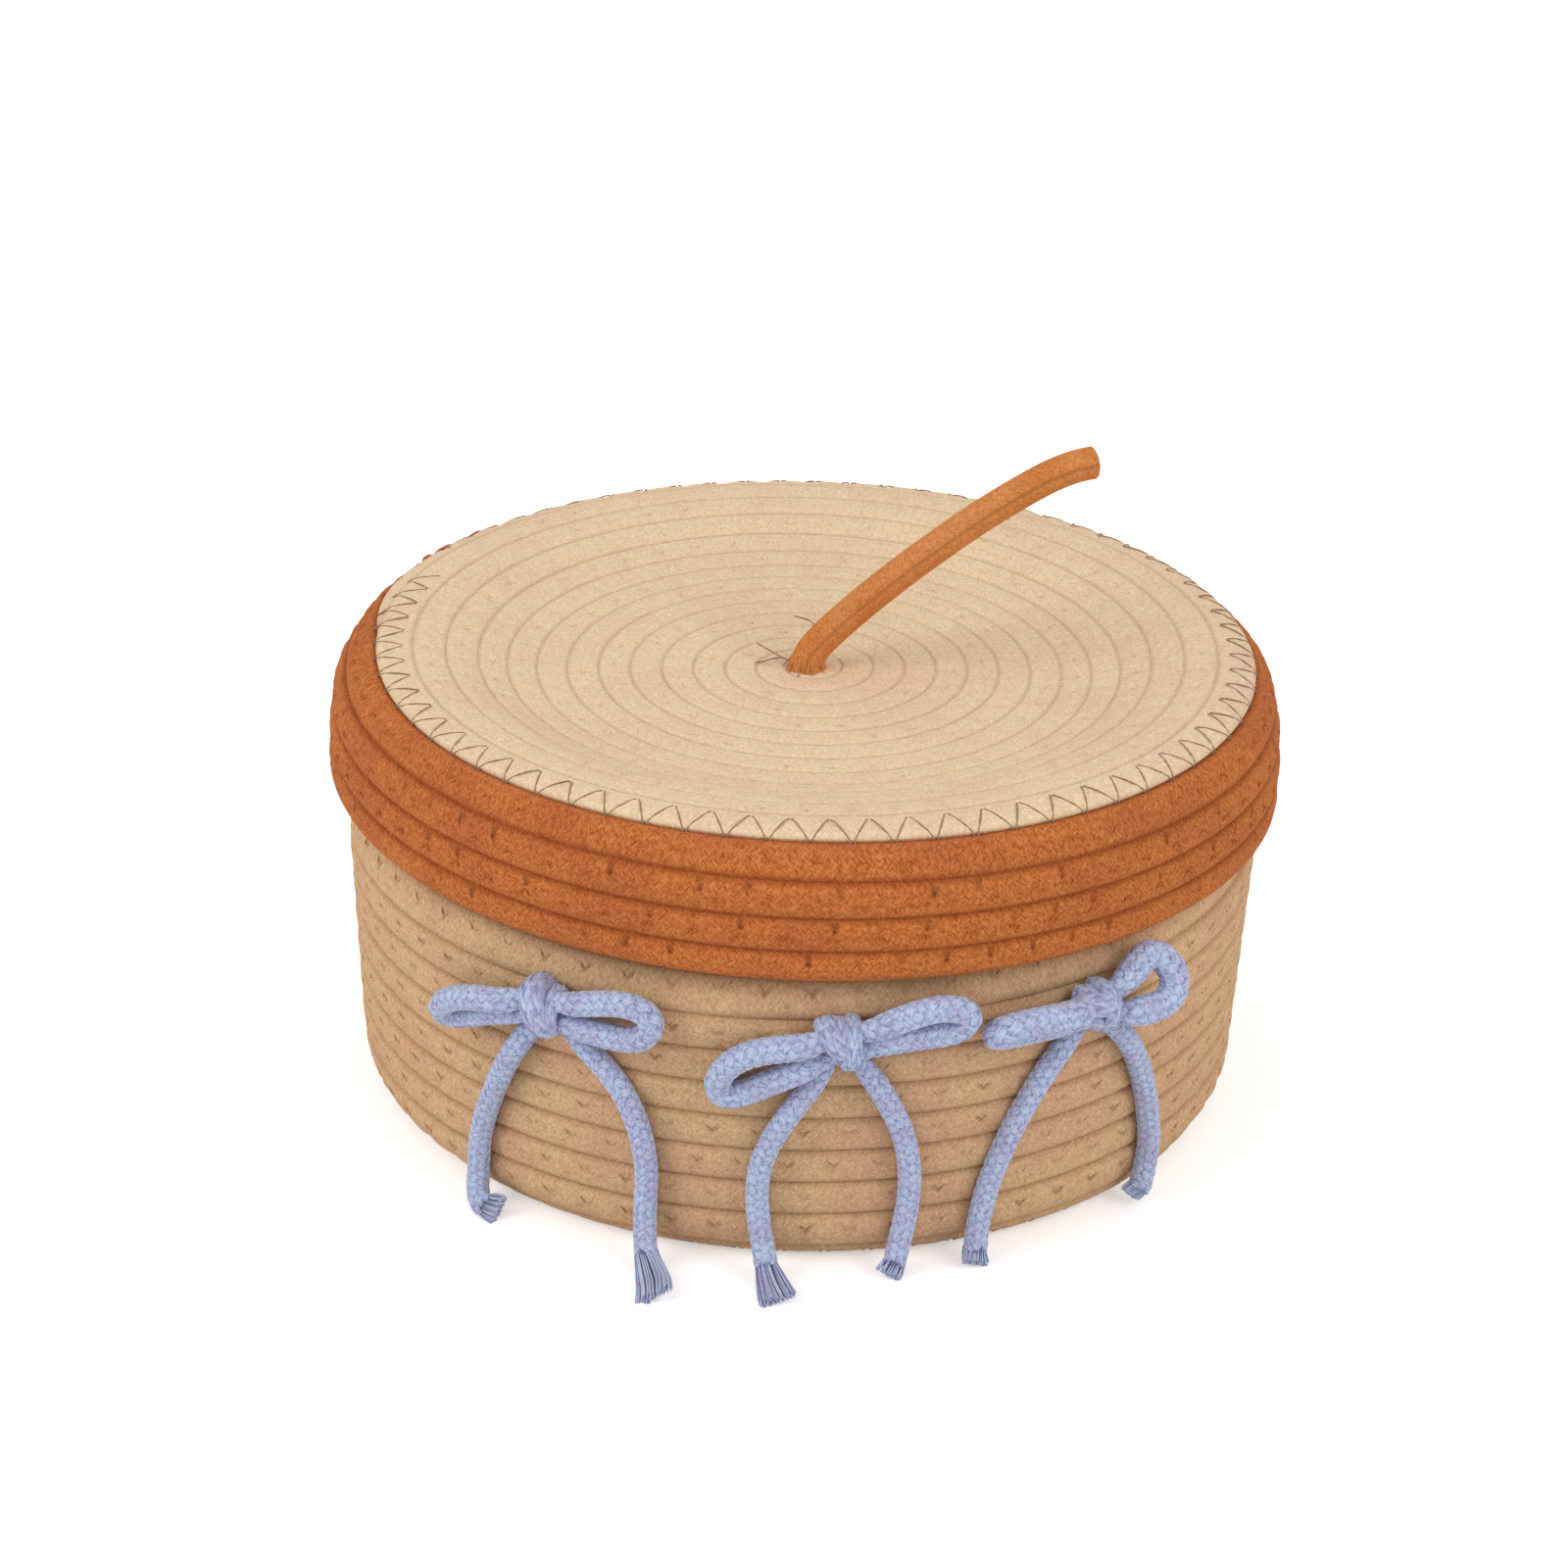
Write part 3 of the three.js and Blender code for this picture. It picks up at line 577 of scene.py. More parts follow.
def wound_rope_tree():
    """Rope with a rounded square section, wound course beside course, and drawn in where the
    needle went through it."""
    tree, given, add = geometry_tree(
        "wound_rope", Line="Object", Start="Float", Outside="Float", Pitch="Float", Width="Float",
        Thickness="Float", Squareness="Float", Plumpness="Float", Sides="Int", Material="Material",
        **{"Reach In": "Float", "Reach Out": "Float", "Stitch Length": "Float",
           "Dent Depth": "Float", "Dent Reach": "Float"})
    section = add("GeometryNodeCurvePrimitiveCircle", {"Resolution": given["Sides"], "Radius": 1.0})
    on_ring = place_parts(add)
    power = add("ShaderNodeMath", [2.0, given["Squareness"]], operation="DIVIDE")
    for axis, size, label in (("X", "Width", "aside"), ("Y", "Thickness", "outward")):
        share = add("ShaderNodeMath", [on_ring[axis]], operation="ABSOLUTE")
        squared = add("ShaderNodeMath", [share, power], operation="POWER")
        sign = add("ShaderNodeMath", [on_ring[axis]], operation="SIGN")
        signed = add("ShaderNodeMath", [squared, sign], operation="MULTIPLY")
        half = add("ShaderNodeMath", [given[size], 0.5], operation="MULTIPLY")
        value = add("ShaderNodeMath", [signed, half], operation="MULTIPLY")
        section = add("GeometryNodeStoreNamedAttribute",
                      {"Geometry": section, "Name": label, "Value": value})
    rope = add("GeometryNodeCurveToMesh", {
        "Curve": add("GeometryNodeMeshToCurve", [given["Geometry"]]),
        "Profile Curve": section, "Fill Caps": True})
    read = {label: add("GeometryNodeInputNamedAttribute", [label], data_type="FLOAT")
            for label in ("turn", "fullness", "flatness", "lean", "phase_next", "phase_last",
                          "held_next", "held_last", "pressed_next", "pressed_last", "aside",
                          "outward", "across")}

    # Plump rope is pressed flat where a course lies beside it, and bulges where none does.
    later = add("ShaderNodeMath", [read["aside"], 0.0], operation="GREATER_THAN")
    pressed = add("ShaderNodeMix", {0: later, 2: read["pressed_last"], 3: read["pressed_next"]},
                  data_type="FLOAT")
    swell = add("ShaderNodeMapRange", {
        "Value": pressed, "To Min": 1.0, "To Max": given["Plumpness"]})
    plump = add("ShaderNodeMath", [read["aside"], swell], operation="MULTIPLY")
    most = add("ShaderNodeMath", [given["Width"], 0.5], operation="MULTIPLY")
    least = add("ShaderNodeMath", [most, -1.0], operation="MULTIPLY")
    across = add("ShaderNodeClamp", {"Value": plump, "Min": least, "Max": most})
    for label in ("across", "around"):
        rope = add("GeometryNodeStoreNamedAttribute",
                   {"Geometry": rope, "Name": label, "Value": across})

    # The needle went in near the groove before and the groove beyond, half a stitch apart.
    half_pitch = add("ShaderNodeMath", [given["Pitch"], 0.5], operation="MULTIPLY")
    low = add("ShaderNodeMath", [half_pitch, given["Reach In"]], operation="SUBTRACT")
    high = add("ShaderNodeMath", [given["Reach Out"], half_pitch], operation="SUBTRACT")
    dents = 0.0
    for side, shift, middle in (("next", 0.5, low), ("last", 0.0, high)):
        shifted = add("ShaderNodeMath", [read["phase_" + side], shift])
        step = add("ShaderNodeMath", [shifted], operation="FRACT")
        share = add("ShaderNodeMath", [step, 0.5], operation="SUBTRACT")
        way = add("ShaderNodeMath", [share, given["Stitch Length"]], operation="MULTIPLY")
        aside = add("ShaderNodeMath", [read["across"], middle], operation="SUBTRACT")
        distance = add("ShaderNodeVectorMath", [add("ShaderNodeCombineXYZ", [way, aside])],
                       operation="LENGTH")
        dent = add("ShaderNodeMapRange", {
            "Value": distance, "From Min": 0.0, "From Max": given["Dent Reach"],
            "To Min": 1.0, "To Max": 0.0}, interpolation_type="SMOOTHSTEP")
        held = add("ShaderNodeMath", [dent, read["held_" + side]], operation="MULTIPLY")
        dents = add("ShaderNodeMath", [held, dents])
    face = add("ShaderNodeMath", [read["outward"]], operation="SIGN")
    depth = add("ShaderNodeMath", [dents, given["Dent Depth"]], operation="MULTIPLY")
    pull = add("ShaderNodeMath", [depth, face], operation="MULTIPLY")
    level = add("ShaderNodeMath", [read["outward"], read["flatness"]], operation="MULTIPLY")
    height = add("ShaderNodeMath", [level, pull], operation="SUBTRACT")

    # A rope that isn't full leans against the course before it or the course beyond.
    middle = add("ShaderNodeMath", [read["turn"], given["Pitch"], half_pitch],
                 operation="MULTIPLY_ADD")
    thin = add("ShaderNodeMath", [1.0, read["fullness"]], operation="SUBTRACT")
    towards = add("ShaderNodeMath", [thin, half_pitch], operation="MULTIPLY")
    leaning = add("ShaderNodeMath", [towards, read["lean"], middle], operation="MULTIPLY_ADD")
    arc = add("ShaderNodeMath", [read["across"], read["fullness"], leaning],
              operation="MULTIPLY_ADD")
    drawn = add("GeometryNodeSetPosition", {
        "Geometry": rope, "Position": add("ShaderNodeCombineXYZ", [read["turn"], arc, height])})
    wound = add("GeometryNodeGroup", {
        "Geometry": drawn, "Line": given["Line"], "Start": given["Start"],
        "Outside": given["Outside"], "Lowest": 0.0}, node_tree=wind_up)
    dress(add, wound, given["Material"])
    return tree


def zigzag_stitches_tree():
    """Thread laid to and fro over a groove, from needle hole to needle hole."""
    tree, given, add = geometry_tree(
        "zigzag_stitches", Line="Object", Start="Float", Outside="Float", Pitch="Float",
        Thickness="Float", Squareness="Float", Plumpness="Float", Stitch="Object", Face="Float",
        Thread="Float", Sink="Float", Material="Material")
    shape = add("GeometryNodeObjectInfo", {"Object": given["Stitch"]}).outputs["Geometry"]
    pieces = add("GeometryNodeMeshToCurve", [shape])
    drawn = place_parts(add)

    # The thread follows the rope's section, as high as that is at its distance from the crown.
    off_groove = add("ShaderNodeMath", [drawn["Y"]], operation="ABSOLUTE")
    half_pitch = add("ShaderNodeMath", [given["Pitch"], 0.5], operation="MULTIPLY")
    half_width = add("ShaderNodeMath", [half_pitch, given["Plumpness"]], operation="MULTIPLY")
    off_crown = add("ShaderNodeMath", [off_groove, half_pitch], operation="SUBTRACT")
    share = add("ShaderNodeMath", [off_crown, half_width], operation="DIVIDE")
    size = add("ShaderNodeMath", [share], operation="ABSOLUTE")
    fallen = add("ShaderNodeMath", [size, given["Squareness"]], operation="POWER")
    risen = add("ShaderNodeMath", [1.0, fallen], operation="SUBTRACT")
    root = add("ShaderNodeMath", [1.0, given["Squareness"]], operation="DIVIDE")
    surface = add("ShaderNodeMath", [risen, root], operation="POWER")
    dipped = add("ShaderNodeMath", [surface, drawn["Z"]], operation="SUBTRACT")
    half_rope = add("ShaderNodeMath", [given["Thickness"], 0.5], operation="MULTIPLY")
    over = add("ShaderNodeMath", [dipped, half_rope], operation="MULTIPLY")
    sunk = add("ShaderNodeMath", [over, given["Sink"]], operation="SUBTRACT")
    height = add("ShaderNodeMath", [sunk, given["Face"]], operation="MULTIPLY")
    stitch = add("GeometryNodeSetPosition", {
        "Geometry": pieces,
        "Position": add("ShaderNodeCombineXYZ", [drawn["X"], drawn["Y"], height])})
    span = add("GeometryNodeInputNamedAttribute", ["span"], data_type="FLOAT")
    sewn = add("GeometryNodeInstanceOnPoints", {
        "Points": given["Geometry"], "Instance": stitch,
        "Scale": add("ShaderNodeCombineXYZ", [span, 1.0, 1.0])})
    radius = add("ShaderNodeMath", [given["Thread"], 0.5], operation="MULTIPLY")
    wound = add("GeometryNodeGroup", {
        "Geometry": add("GeometryNodeRealizeInstances", [sewn]), "Line": given["Line"],
        "Start": given["Start"], "Outside": given["Outside"], "Lowest": radius}, node_tree=wind_up)
    ring = add("GeometryNodeCurvePrimitiveCircle", {"Resolution": thread_sides, "Radius": radius})
    thread = add("GeometryNodeCurveToMesh",
                 {"Curve": wound, "Profile Curve": ring, "Fill Caps": True})
    dress(add, thread, given["Material"])
    return tree


def frayed_end_tree():
    """Fibres that leave the end of a cord in locks, spread, and settle on what they lie on."""
    tree, given, add = geometry_tree(
        "frayed_end", Diameter="Float", Spread="Float", Fibres="Int", Locks="Int", Fibre="Float",
        Seed="Int")
    path, side, out, way = cord_frame(
        add, add("GeometryNodeMeshToCurve", [given["Geometry"]]), "way",
        add("GeometryNodeSplineParameter").outputs["Factor"])
    many = add("GeometryNodeDuplicateElements", {"Geometry": path, "Amount": given["Fibres"]},
               domain="SPLINE")
    fibre = many.outputs["Duplicate Index"]
    lock = add("ShaderNodeMath", [fibre, given["Locks"]], operation="MODULO")
    chance = {}
    for order, (label, least, most, of) in enumerate((
            ("middle of lock", 0.35, 0.65, lock), ("beside", -1.0, 1.0, fibre),
            ("layer", -1.0, 1.0, fibre), ("curl of lock", -0.12, 0.22, lock),
            ("tone", 0.4, 2.6, fibre), ("length", 0.88, 1.0, fibre))):
        seed = add("ShaderNodeMath", [given["Seed"], float(order)])
        chance[label] = add("FunctionNodeRandomValue", {2: least, 3: most, "ID": of, "Seed": seed},
                            data_type="FLOAT").outputs[1]

    # Where each fibre lies aside, as a share of half the width: in its lock, and beside others.
    radius = add("ShaderNodeMath", [given["Diameter"], 0.5], operation="MULTIPLY")
    half = add("ShaderNodeMath", [given["Spread"], 0.5], operation="MULTIPLY")
    centred = add("ShaderNodeMath", [lock, chance["middle of lock"]])
    share = add("ShaderNodeMath", [centred, given["Locks"]], operation="DIVIDE")
    place = add("ShaderNodeMath", [share, 2.0, -1.0], operation="MULTIPLY_ADD")
    apart = add("ShaderNodeMath", [lock_fill, given["Locks"]], operation="DIVIDE")
    aside = add("ShaderNodeMath", [chance["beside"], apart, place], operation="MULTIPLY_ADD")
    opened = add("ShaderNodeMath", [way, opening_power], operation="POWER")
    start_share = add("ShaderNodeMath", [aside, fray_root], operation="MULTIPLY")
    start = add("ShaderNodeMath", [start_share, radius], operation="MULTIPLY")
    end = add("ShaderNodeMath", [aside, half], operation="MULTIPLY")
    widened = add("ShaderNodeMapRange", {"Value": opened, "To Min": start, "To Max": end})
    half_wave = add("ShaderNodeMath", [way, full_turn / 2], operation="MULTIPLY")
    bulged = add("ShaderNodeMath", [half_wave], operation="SINE")
    curl = add("ShaderNodeMath", [chance["curl of lock"], half], operation="MULTIPLY")
    curled = add("ShaderNodeMath", [curl, aside], operation="MULTIPLY")
    side_part = add("ShaderNodeMath", [bulged, curled, widened], operation="MULTIPLY_ADD")

    # How high it lies: anywhere in the round cord at first, and in a flat layer at the end.
    square = add("ShaderNodeMath", [start_share, start_share], operation="MULTIPLY")
    inside = add("ShaderNodeMath", [1.0, square], operation="SUBTRACT")
    room = add("ShaderNodeMath", [inside, 0.5], operation="POWER")
    start_out = add("ShaderNodeMath", [room, chance["layer"]], operation="MULTIPLY")
    end_out = add("ShaderNodeMath", [chance["layer"], layer_depth, layer_height],
                  operation="MULTIPLY_ADD")
    settled = add("ShaderNodeMath", [way, settling_power], operation="POWER")
    out_share = add("ShaderNodeMapRange", {
        "Value": settled, "To Min": start_out, "To Max": end_out})
    out_part = add("ShaderNodeMath", [out_share, radius], operation="MULTIPLY")
    shaded = add("GeometryNodeStoreNamedAttribute",
                 {"Geometry": many, "Name": "rise", "Value": chance["tone"]}, data_type="FLOAT")
    moved = add("GeometryNodeSetPosition", {
        "Geometry": shaded, "Offset": off_path(add, out, out_part, side, side_part)})
    cut = add("GeometryNodeTrimCurve", {"Curve": moved, 3: chance["length"]})
    fibre_radius = add("ShaderNodeMath", [given["Fibre"], 0.5], operation="MULTIPLY")
    resting = kept_above(add, cut, add("GeometryNodeInputPosition"), fibre_radius)
    ring = add("GeometryNodeCurvePrimitiveCircle", {
        "Resolution": fibre_sides, "Radius": fibre_radius})
    add("NodeGroupOutput", [add("GeometryNodeCurveToMesh", {
        "Curve": resting, "Profile Curve": ring, "Fill Caps": True})])
    return tree


def braided_cord_tree():
    """A braid along a path: flat strands wind both ways round a core and pass over two and under
    two, so that columns of V run along it. Its end may come undone along a path of its own."""
    tree, given, add = geometry_tree(
        "braided_cord", Diameter="Float", Lay="Float", Strands="Int", Material="Material",
        Fray="Object", Spread="Float", Fibres="Int", Locks="Int", Fibre="Float", Seed="Int",
        **{"Strand Width": "Float", "Strand Thickness": "Float", "Crossing": "Float",
           "Step": "Float", "Flatness": "Float", "Core": "Float"})
    line = add("GeometryNodeMeshToCurve", [given["Geometry"]])
    full = add("GeometryNodeInputNamedAttribute", ["fullness"], data_type="FLOAT")
    even = add("GeometryNodeResampleCurve", {"Curve": line, "Length": given["Step"]}, mode="LENGTH")
    path, side, out, along = cord_frame(
        add, even, "along", add("GeometryNodeSplineParameter").outputs["Length"])

    # Every second strand winds the other way. Each has its place round the cord.
    both = add("ShaderNodeMath", [given["Strands"], 2.0], operation="MULTIPLY")
    many = add("GeometryNodeDuplicateElements", {"Geometry": path, "Amount": both}, domain="SPLINE")
    index = many.outputs["Duplicate Index"]
    parity = add("ShaderNodeMath", [index, 2.0], operation="MODULO")
    way = add("ShaderNodeMath", [parity, 2.0, -1.0], operation="MULTIPLY_ADD")
    wraps = add("ShaderNodeMath", [along, given["Lay"]], operation="DIVIDE")
    wound = add("ShaderNodeMath", [wraps, way], operation="MULTIPLY")
    pair = add("ShaderNodeMath", [index, 0.5], operation="MULTIPLY")
    place = add("ShaderNodeMath", [pair], operation="FLOOR")
    share = add("ShaderNodeMath", [place, given["Strands"]], operation="DIVIDE")
    turn = add("ShaderNodeMath", [share, wound])
    angle = add("ShaderNodeMath", [turn, full_turn], operation="MULTIPLY")

    # It rises and dives in step with the strands that it crosses.
    columns = add("ShaderNodeMath", [turn, given["Strands"]], operation="MULTIPLY")
    beat = add("ShaderNodeMath", [columns, full_turn / 2, full_turn / 8], operation="MULTIPLY_ADD")
    wave = add("ShaderNodeMath", [beat], operation="COSINE")
    rise = add("ShaderNodeMath", [wave, way], operation="MULTIPLY")
    outer = add("ShaderNodeMath", [given["Diameter"], given["Strand Thickness"]],
                operation="SUBTRACT")
    middle = add("ShaderNodeMath", [outer, 0.5], operation="MULTIPLY")
    level = add("ShaderNodeMath", [middle, given["Crossing"]], operation="SUBTRACT")
    lifted = add("ShaderNodeMath", [rise, given["Crossing"], level], operation="MULTIPLY_ADD")
    radius = add("ShaderNodeMath", [lifted, full], operation="MULTIPLY")
    flat_radius = add("ShaderNodeMath", [radius, given["Flatness"]], operation="MULTIPLY")
    cosine = add("ShaderNodeMath", [angle], operation="COSINE")
    sine = add("ShaderNodeMath", [angle], operation="SINE")
    out_part = add("ShaderNodeMath", [cosine, flat_radius], operation="MULTIPLY")
    side_part = add("ShaderNodeMath", [sine, radius], operation="MULTIPLY")
    strands = many
    for label, kind, value in (
            ("rise", "FLOAT", rise),
            ("facing", "FLOAT_VECTOR", off_path(add, out, out_part, side, side_part))):
        strands = add("GeometryNodeStoreNamedAttribute",
                      {"Geometry": strands, "Name": label, "Value": value}, data_type=kind)
    facing = add("GeometryNodeInputNamedAttribute", ["facing"], data_type="FLOAT_VECTOR")
    moved = add("GeometryNodeSetPosition", {"Geometry": strands, "Offset": facing})
    turned = add("GeometryNodeSetCurveNormal", {"Curve": moved, "Normal": facing}, mode="FREE")

    # A strand's section is a flat oval that remembers how far to the side a place on it is.
    ring = add("GeometryNodeCurvePrimitiveCircle", {"Resolution": strand_sides, "Radius": 1.0})
    marked = add("GeometryNodeStoreNamedAttribute",
                 {"Geometry": ring, "Name": "flank", "Value": place_parts(add)["Y"]})
    thick = add("ShaderNodeMath", [given["Strand Thickness"], 0.5], operation="MULTIPLY")
    wide = add("ShaderNodeMath", [given["Strand Width"], 0.5], operation="MULTIPLY")
    core_radius = add("ShaderNodeMath", [given["Core"], 0.5], operation="MULTIPLY")
    core_ring = add("GeometryNodeCurvePrimitiveCircle", {
        "Resolution": core_sides, "Radius": core_radius})
    sections = []
    for shape, size in ((marked, [thick, wide, 0.0]), (core_ring, [given["Flatness"], 1.0, 0.0])):
        flat = add("ShaderNodeVectorMath", [
            add("GeometryNodeInputPosition"), add("ShaderNodeCombineXYZ", size)],
            operation="MULTIPLY")
        sections.append(add("GeometryNodeSetPosition", {"Geometry": shape, "Position": flat}))
    # The core is marked as lying lowest, so that the finish paints it in shade, seen in the gaps.
    low = add("GeometryNodeStoreNamedAttribute",
              {"Geometry": sections[1], "Name": "rise", "Value": -1.0})
    core = add("GeometryNodeSetCurveNormal", {"Curve": path, "Normal": out}, mode="FREE")
    undone = add("GeometryNodeObjectInfo", {"Object": given["Fray"]}).outputs["Geometry"]
    fray = add("GeometryNodeGroup", {
        "Geometry": undone,
        **{label: given[label]
           for label in ("Diameter", "Spread", "Fibres", "Locks", "Fibre", "Seed")}},
        node_tree=frayed_end)
    joined = add("GeometryNodeJoinGeometry")
    parts = [add("GeometryNodeCurveToMesh", {
        "Curve": curve, "Profile Curve": section, "Scale": full, "Fill Caps": True})
        for curve, section in ((turned, sections[0]), (core, low))]
    for part in (*parts, fray):
        tree.links.new(part.outputs[0], joined.inputs[0])
    dress(add, joined, given["Material"])
    return tree


def free_rope_tree():
    """A round rope along a path, with its section's places kept for its finish."""
    tree, given, add = geometry_tree(
        "free_rope", Diameter="Float", Sides="Int", Material="Material")
    off = add("GeometryNodeInputNamedAttribute", ["off"], data_type="FLOAT_VECTOR")
    full = add("GeometryNodeInputNamedAttribute", ["fullness"], data_type="FLOAT")
    path = add("GeometryNodeMeshToCurve", [given["Geometry"]])
    turned = add("GeometryNodeSetCurveNormal", {"Curve": path, "Normal": off}, mode="FREE")
    radius = add("ShaderNodeMath", [given["Diameter"], 0.5], operation="MULTIPLY")
    ring = add("GeometryNodeCurvePrimitiveCircle", {"Resolution": given["Sides"], "Radius": radius})
    place = place_parts(add)
    angle = add("ShaderNodeMath", [place["Y"], place["X"]], operation="ARCTAN2")
    around = add("ShaderNodeMath", [angle, radius], operation="MULTIPLY")
    section = add("GeometryNodeStoreNamedAttribute",
                  {"Geometry": ring, "Name": "around", "Value": around})
    rope = add("GeometryNodeCurveToMesh", {
        "Curve": turned, "Profile Curve": section, "Scale": full, "Fill Caps": True})
    dress(add, rope, given["Material"])
    return tree


wound_rope = wound_rope_tree()
zigzag_stitches = zigzag_stitches_tree()
frayed_end = frayed_end_tree()
braided_cord = braided_cord_tree()
free_rope = free_rope_tree()

# Windings. The lid's rim goes on where the disc's rope ends, at its own pitch.
basket_split = base_flat_radius / basket_pitch - 0.5
basket_turns = basket_line.length / basket_pitch - 0.5
lid_seam = (disc_end + seam_past_corner) / lid_pitch - 0.5
lid_start = rim_start - lid_seam * full_turn
rim_end = lid_seam + rim_turns
rim_shift = (lid_pitch - rim_pitch) * (lid_seam + 0.5)
basket_rope = Winding(
    "basket", basket_line, basket_pitch, basket_start, (curled_in, basket_turns), 1, 2.6, 1.24)
disc_rope = Winding("disc", lid_line, lid_pitch, lid_start, (curled_in, lid_seam), -1, 4, 1.34)
rim_rope = Winding(
    "rim", lid_line, rim_pitch, lid_start, (lid_seam, rim_end), -1, 2.3, 1.22, rim_shift)

# The two ropes of the lid are cut slanting and sewn past each other, so that the rust rope
# widens out from under the cream one.
splice_start = lid_seam + 12 / 360
splice_turns = 32 / 360
splice_least = 0.12
seam_start = splice_start + 10 / 360


def guide(name, winding, first, last, step):
    """The turns from first to last as a line of even steps, with what the rope's tree reads."""
    table = np.linspace(first, last, 4000)
    lengths = winding.length_at(table, 0.5)
    count = math.ceil(lengths[-1] / step) + 1
    turns = np.interp(np.linspace(0, lengths[-1], count), lengths, table)
    left = np.clip((winding.last - turns) / end_taper_turns, 0, 1)
    spliced = (turns - splice_start) / splice_turns
    fullness = end_taper_scale + (1 - end_taper_scale) * left
    flatness, lean = fullness.copy(), -np.ones(count)
    if winding is disc_rope:
        fullness = np.clip(1 - spliced, splice_least, 1)
        flatness = 1 - 0.5 * np.clip(spliced, 0, 1) ** 2
    elif winding is rim_rope:
        fullness = np.minimum(fullness, np.clip(spliced, splice_least, 1))
        lean[turns < splice_start + splice_turns] = 1
    held_next, held_last = 1.0 * (turns < winding.last - 1), 1.0 * (turns > winding.first + 1)
    return polyline(
        name, np.column_stack([turns, 0 * turns, 0 * turns]), turn=turns, fullness=fullness,
        flatness=flatness, lean=lean, along=np.interp(turns, table, lengths),
        phase_next=winding.stitches(turns), phase_last=winding.stitches(turns - 1),
        held_next=held_next, held_last=held_last,
        pressed_next=np.maximum(held_next, winding is disc_rope), pressed_last=np.ones(count))


def seam_points(name, winding, first, last, length):
    """The stitches over the grooves from first to last, one point each, where they begin. They
    keep in step with the needle's dents, or have a length of their own."""
    turns = np.linspace(first, last, 2000)
    count = winding.length_at(turns, 1, length) if length else winding.stitches(turns)
    numbers = np.arange(math.ceil(count[0]), math.floor(count[-1]))
    begins, ends = np.interp(numbers, count, turns), np.interp(numbers + 1, count, turns)
    return polyline(name, np.column_stack([begins, winding.pitch * (begins + 1), 0 * begins]),
                    span=ends - begins)


def add_rope(name, winding, first, last, step, material, body):
    inputs = winding.shape(
        Width=winding.pitch, Sides=rope_sides, Material=material,
        **{"Reach In": reach_in, "Reach Out": reach_out, "Stitch Length": stitch_length,
           "Dent Depth": dent_depth, "Dent Reach": dent_reach})
    source = guide(name + "_guide", winding, first, last, step)
    rope = made_by(wound_rope, name + "_rope", source, inputs, body)
    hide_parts(name)


def add_stitches(name, winding, first, last, face, stitch, material, material_slot, body,
                 length=None, **more):
    inputs = winding.shape(
        Face=face, Stitch=stitch, Material=material,
        **{"Thread": thread_diameter, "Sink": thread_sink, **more})
    source = seam_points(name + "_points", winding, first, last, length)
    made_by(zigzag_stitches, name, source, inputs, body)


# Finishes. Their sizes are those of what makes the surface uneven.
plait_length = 3.6 * mm
plait_contrast = 0.02
fibre_length = 2.8 * mm
fibre_width = 0.7 * mm
fibre_sway = 1.4 * mm
sway_size = 4 * mm
felt_grain = 0.45 * mm
dye_drift = 20 * mm
tension_drift = 9 * mm
line_core, line_reach = 0.1 * mm, 0.9 * mm
line_fades_from, line_fades_by = 1.2 * mm, 2.8 * mm
hole_core, hole_reach = 0.15 * mm, 1.0 * mm
strand_fibre_length = 1.6 * mm
strand_fibres_across = 2.6
cord_fuzz = 0.5 * mm
cord_drift = 7 * mm
thread_twist = 0.7 * mm


def cloth(name, sheen, **more):
    """A matt material, with more of its shader's values, and what adds a node to it."""
    made = bpy.data.materials.new(name)
    made.use_nodes = True
    shader = made.node_tree.nodes["Principled BSDF"]
    for label, value in {"Roughness": 0.95, "Specular IOR Level": 0.2, "Sheen Weight": sheen,
                         "Sheen Roughness": 0.6, **more}.items():
        shader.inputs[label].default_value = value
    return made, partial(add_node, made.node_tree)


def coat(made, colour, bump=None):
    """Gives a cloth its colour, and its bumps if it has any."""
    shader = made.node_tree.nodes["Principled BSDF"]
    made.node_tree.links.new(colour.outputs[2], shader.inputs["Base Color"])
    if bump:
        made.node_tree.links.new(bump.outputs["Normal"], shader.inputs["Normal"])
    return made


def braid_fibres(add, where, along, around):
    """Fibres of the felted braid, which lie one way in one plait and the other way in the next."""
    warp = add("ShaderNodeTexNoise", {"Vector": where, "Scale": 1 / sway_size, "Detail": 2.0})
    bent = add("ShaderNodeMath", [warp, fibre_sway, around], operation="MULTIPLY_ADD")
    ways, waves = [], []
    for slope in (1.0, -1.0):
        way = add("ShaderNodeMath", [bent, slope, along], operation="MULTIPLY_ADD")
        turns = add("ShaderNodeMath", [way, full_turn / plait_length], operation="MULTIPLY")
        ways.append(way)
        waves.append(add("ShaderNodeMath", [turns], operation="SINE"))
    plaits = add("ShaderNodeMath", waves, operation="MULTIPLY")
    fibres = []
    for sizes in ((fibre_length, fibre_width), (fibre_width, fibre_length)):
        parts = [add("ShaderNodeMath", [way, size], operation="DIVIDE")
                 for way, size in zip(ways, sizes)]
        fibres.append(add("ShaderNodeTexNoise", {
            "Vector": add("ShaderNodeCombineXYZ", parts), "Scale": 1.0, "Detail": 2.0,
            "Roughness": 0.6}))
    chosen = add("ShaderNodeMapRange", {"Value": plaits, "From Min": -0.15, "From Max": 0.15},
                 interpolation_type="SMOOTHSTEP")
    return add("ShaderNodeMix", {0: chosen, 2: fibres[0], 3: fibres[1]}, data_type="FLOAT"), plaits


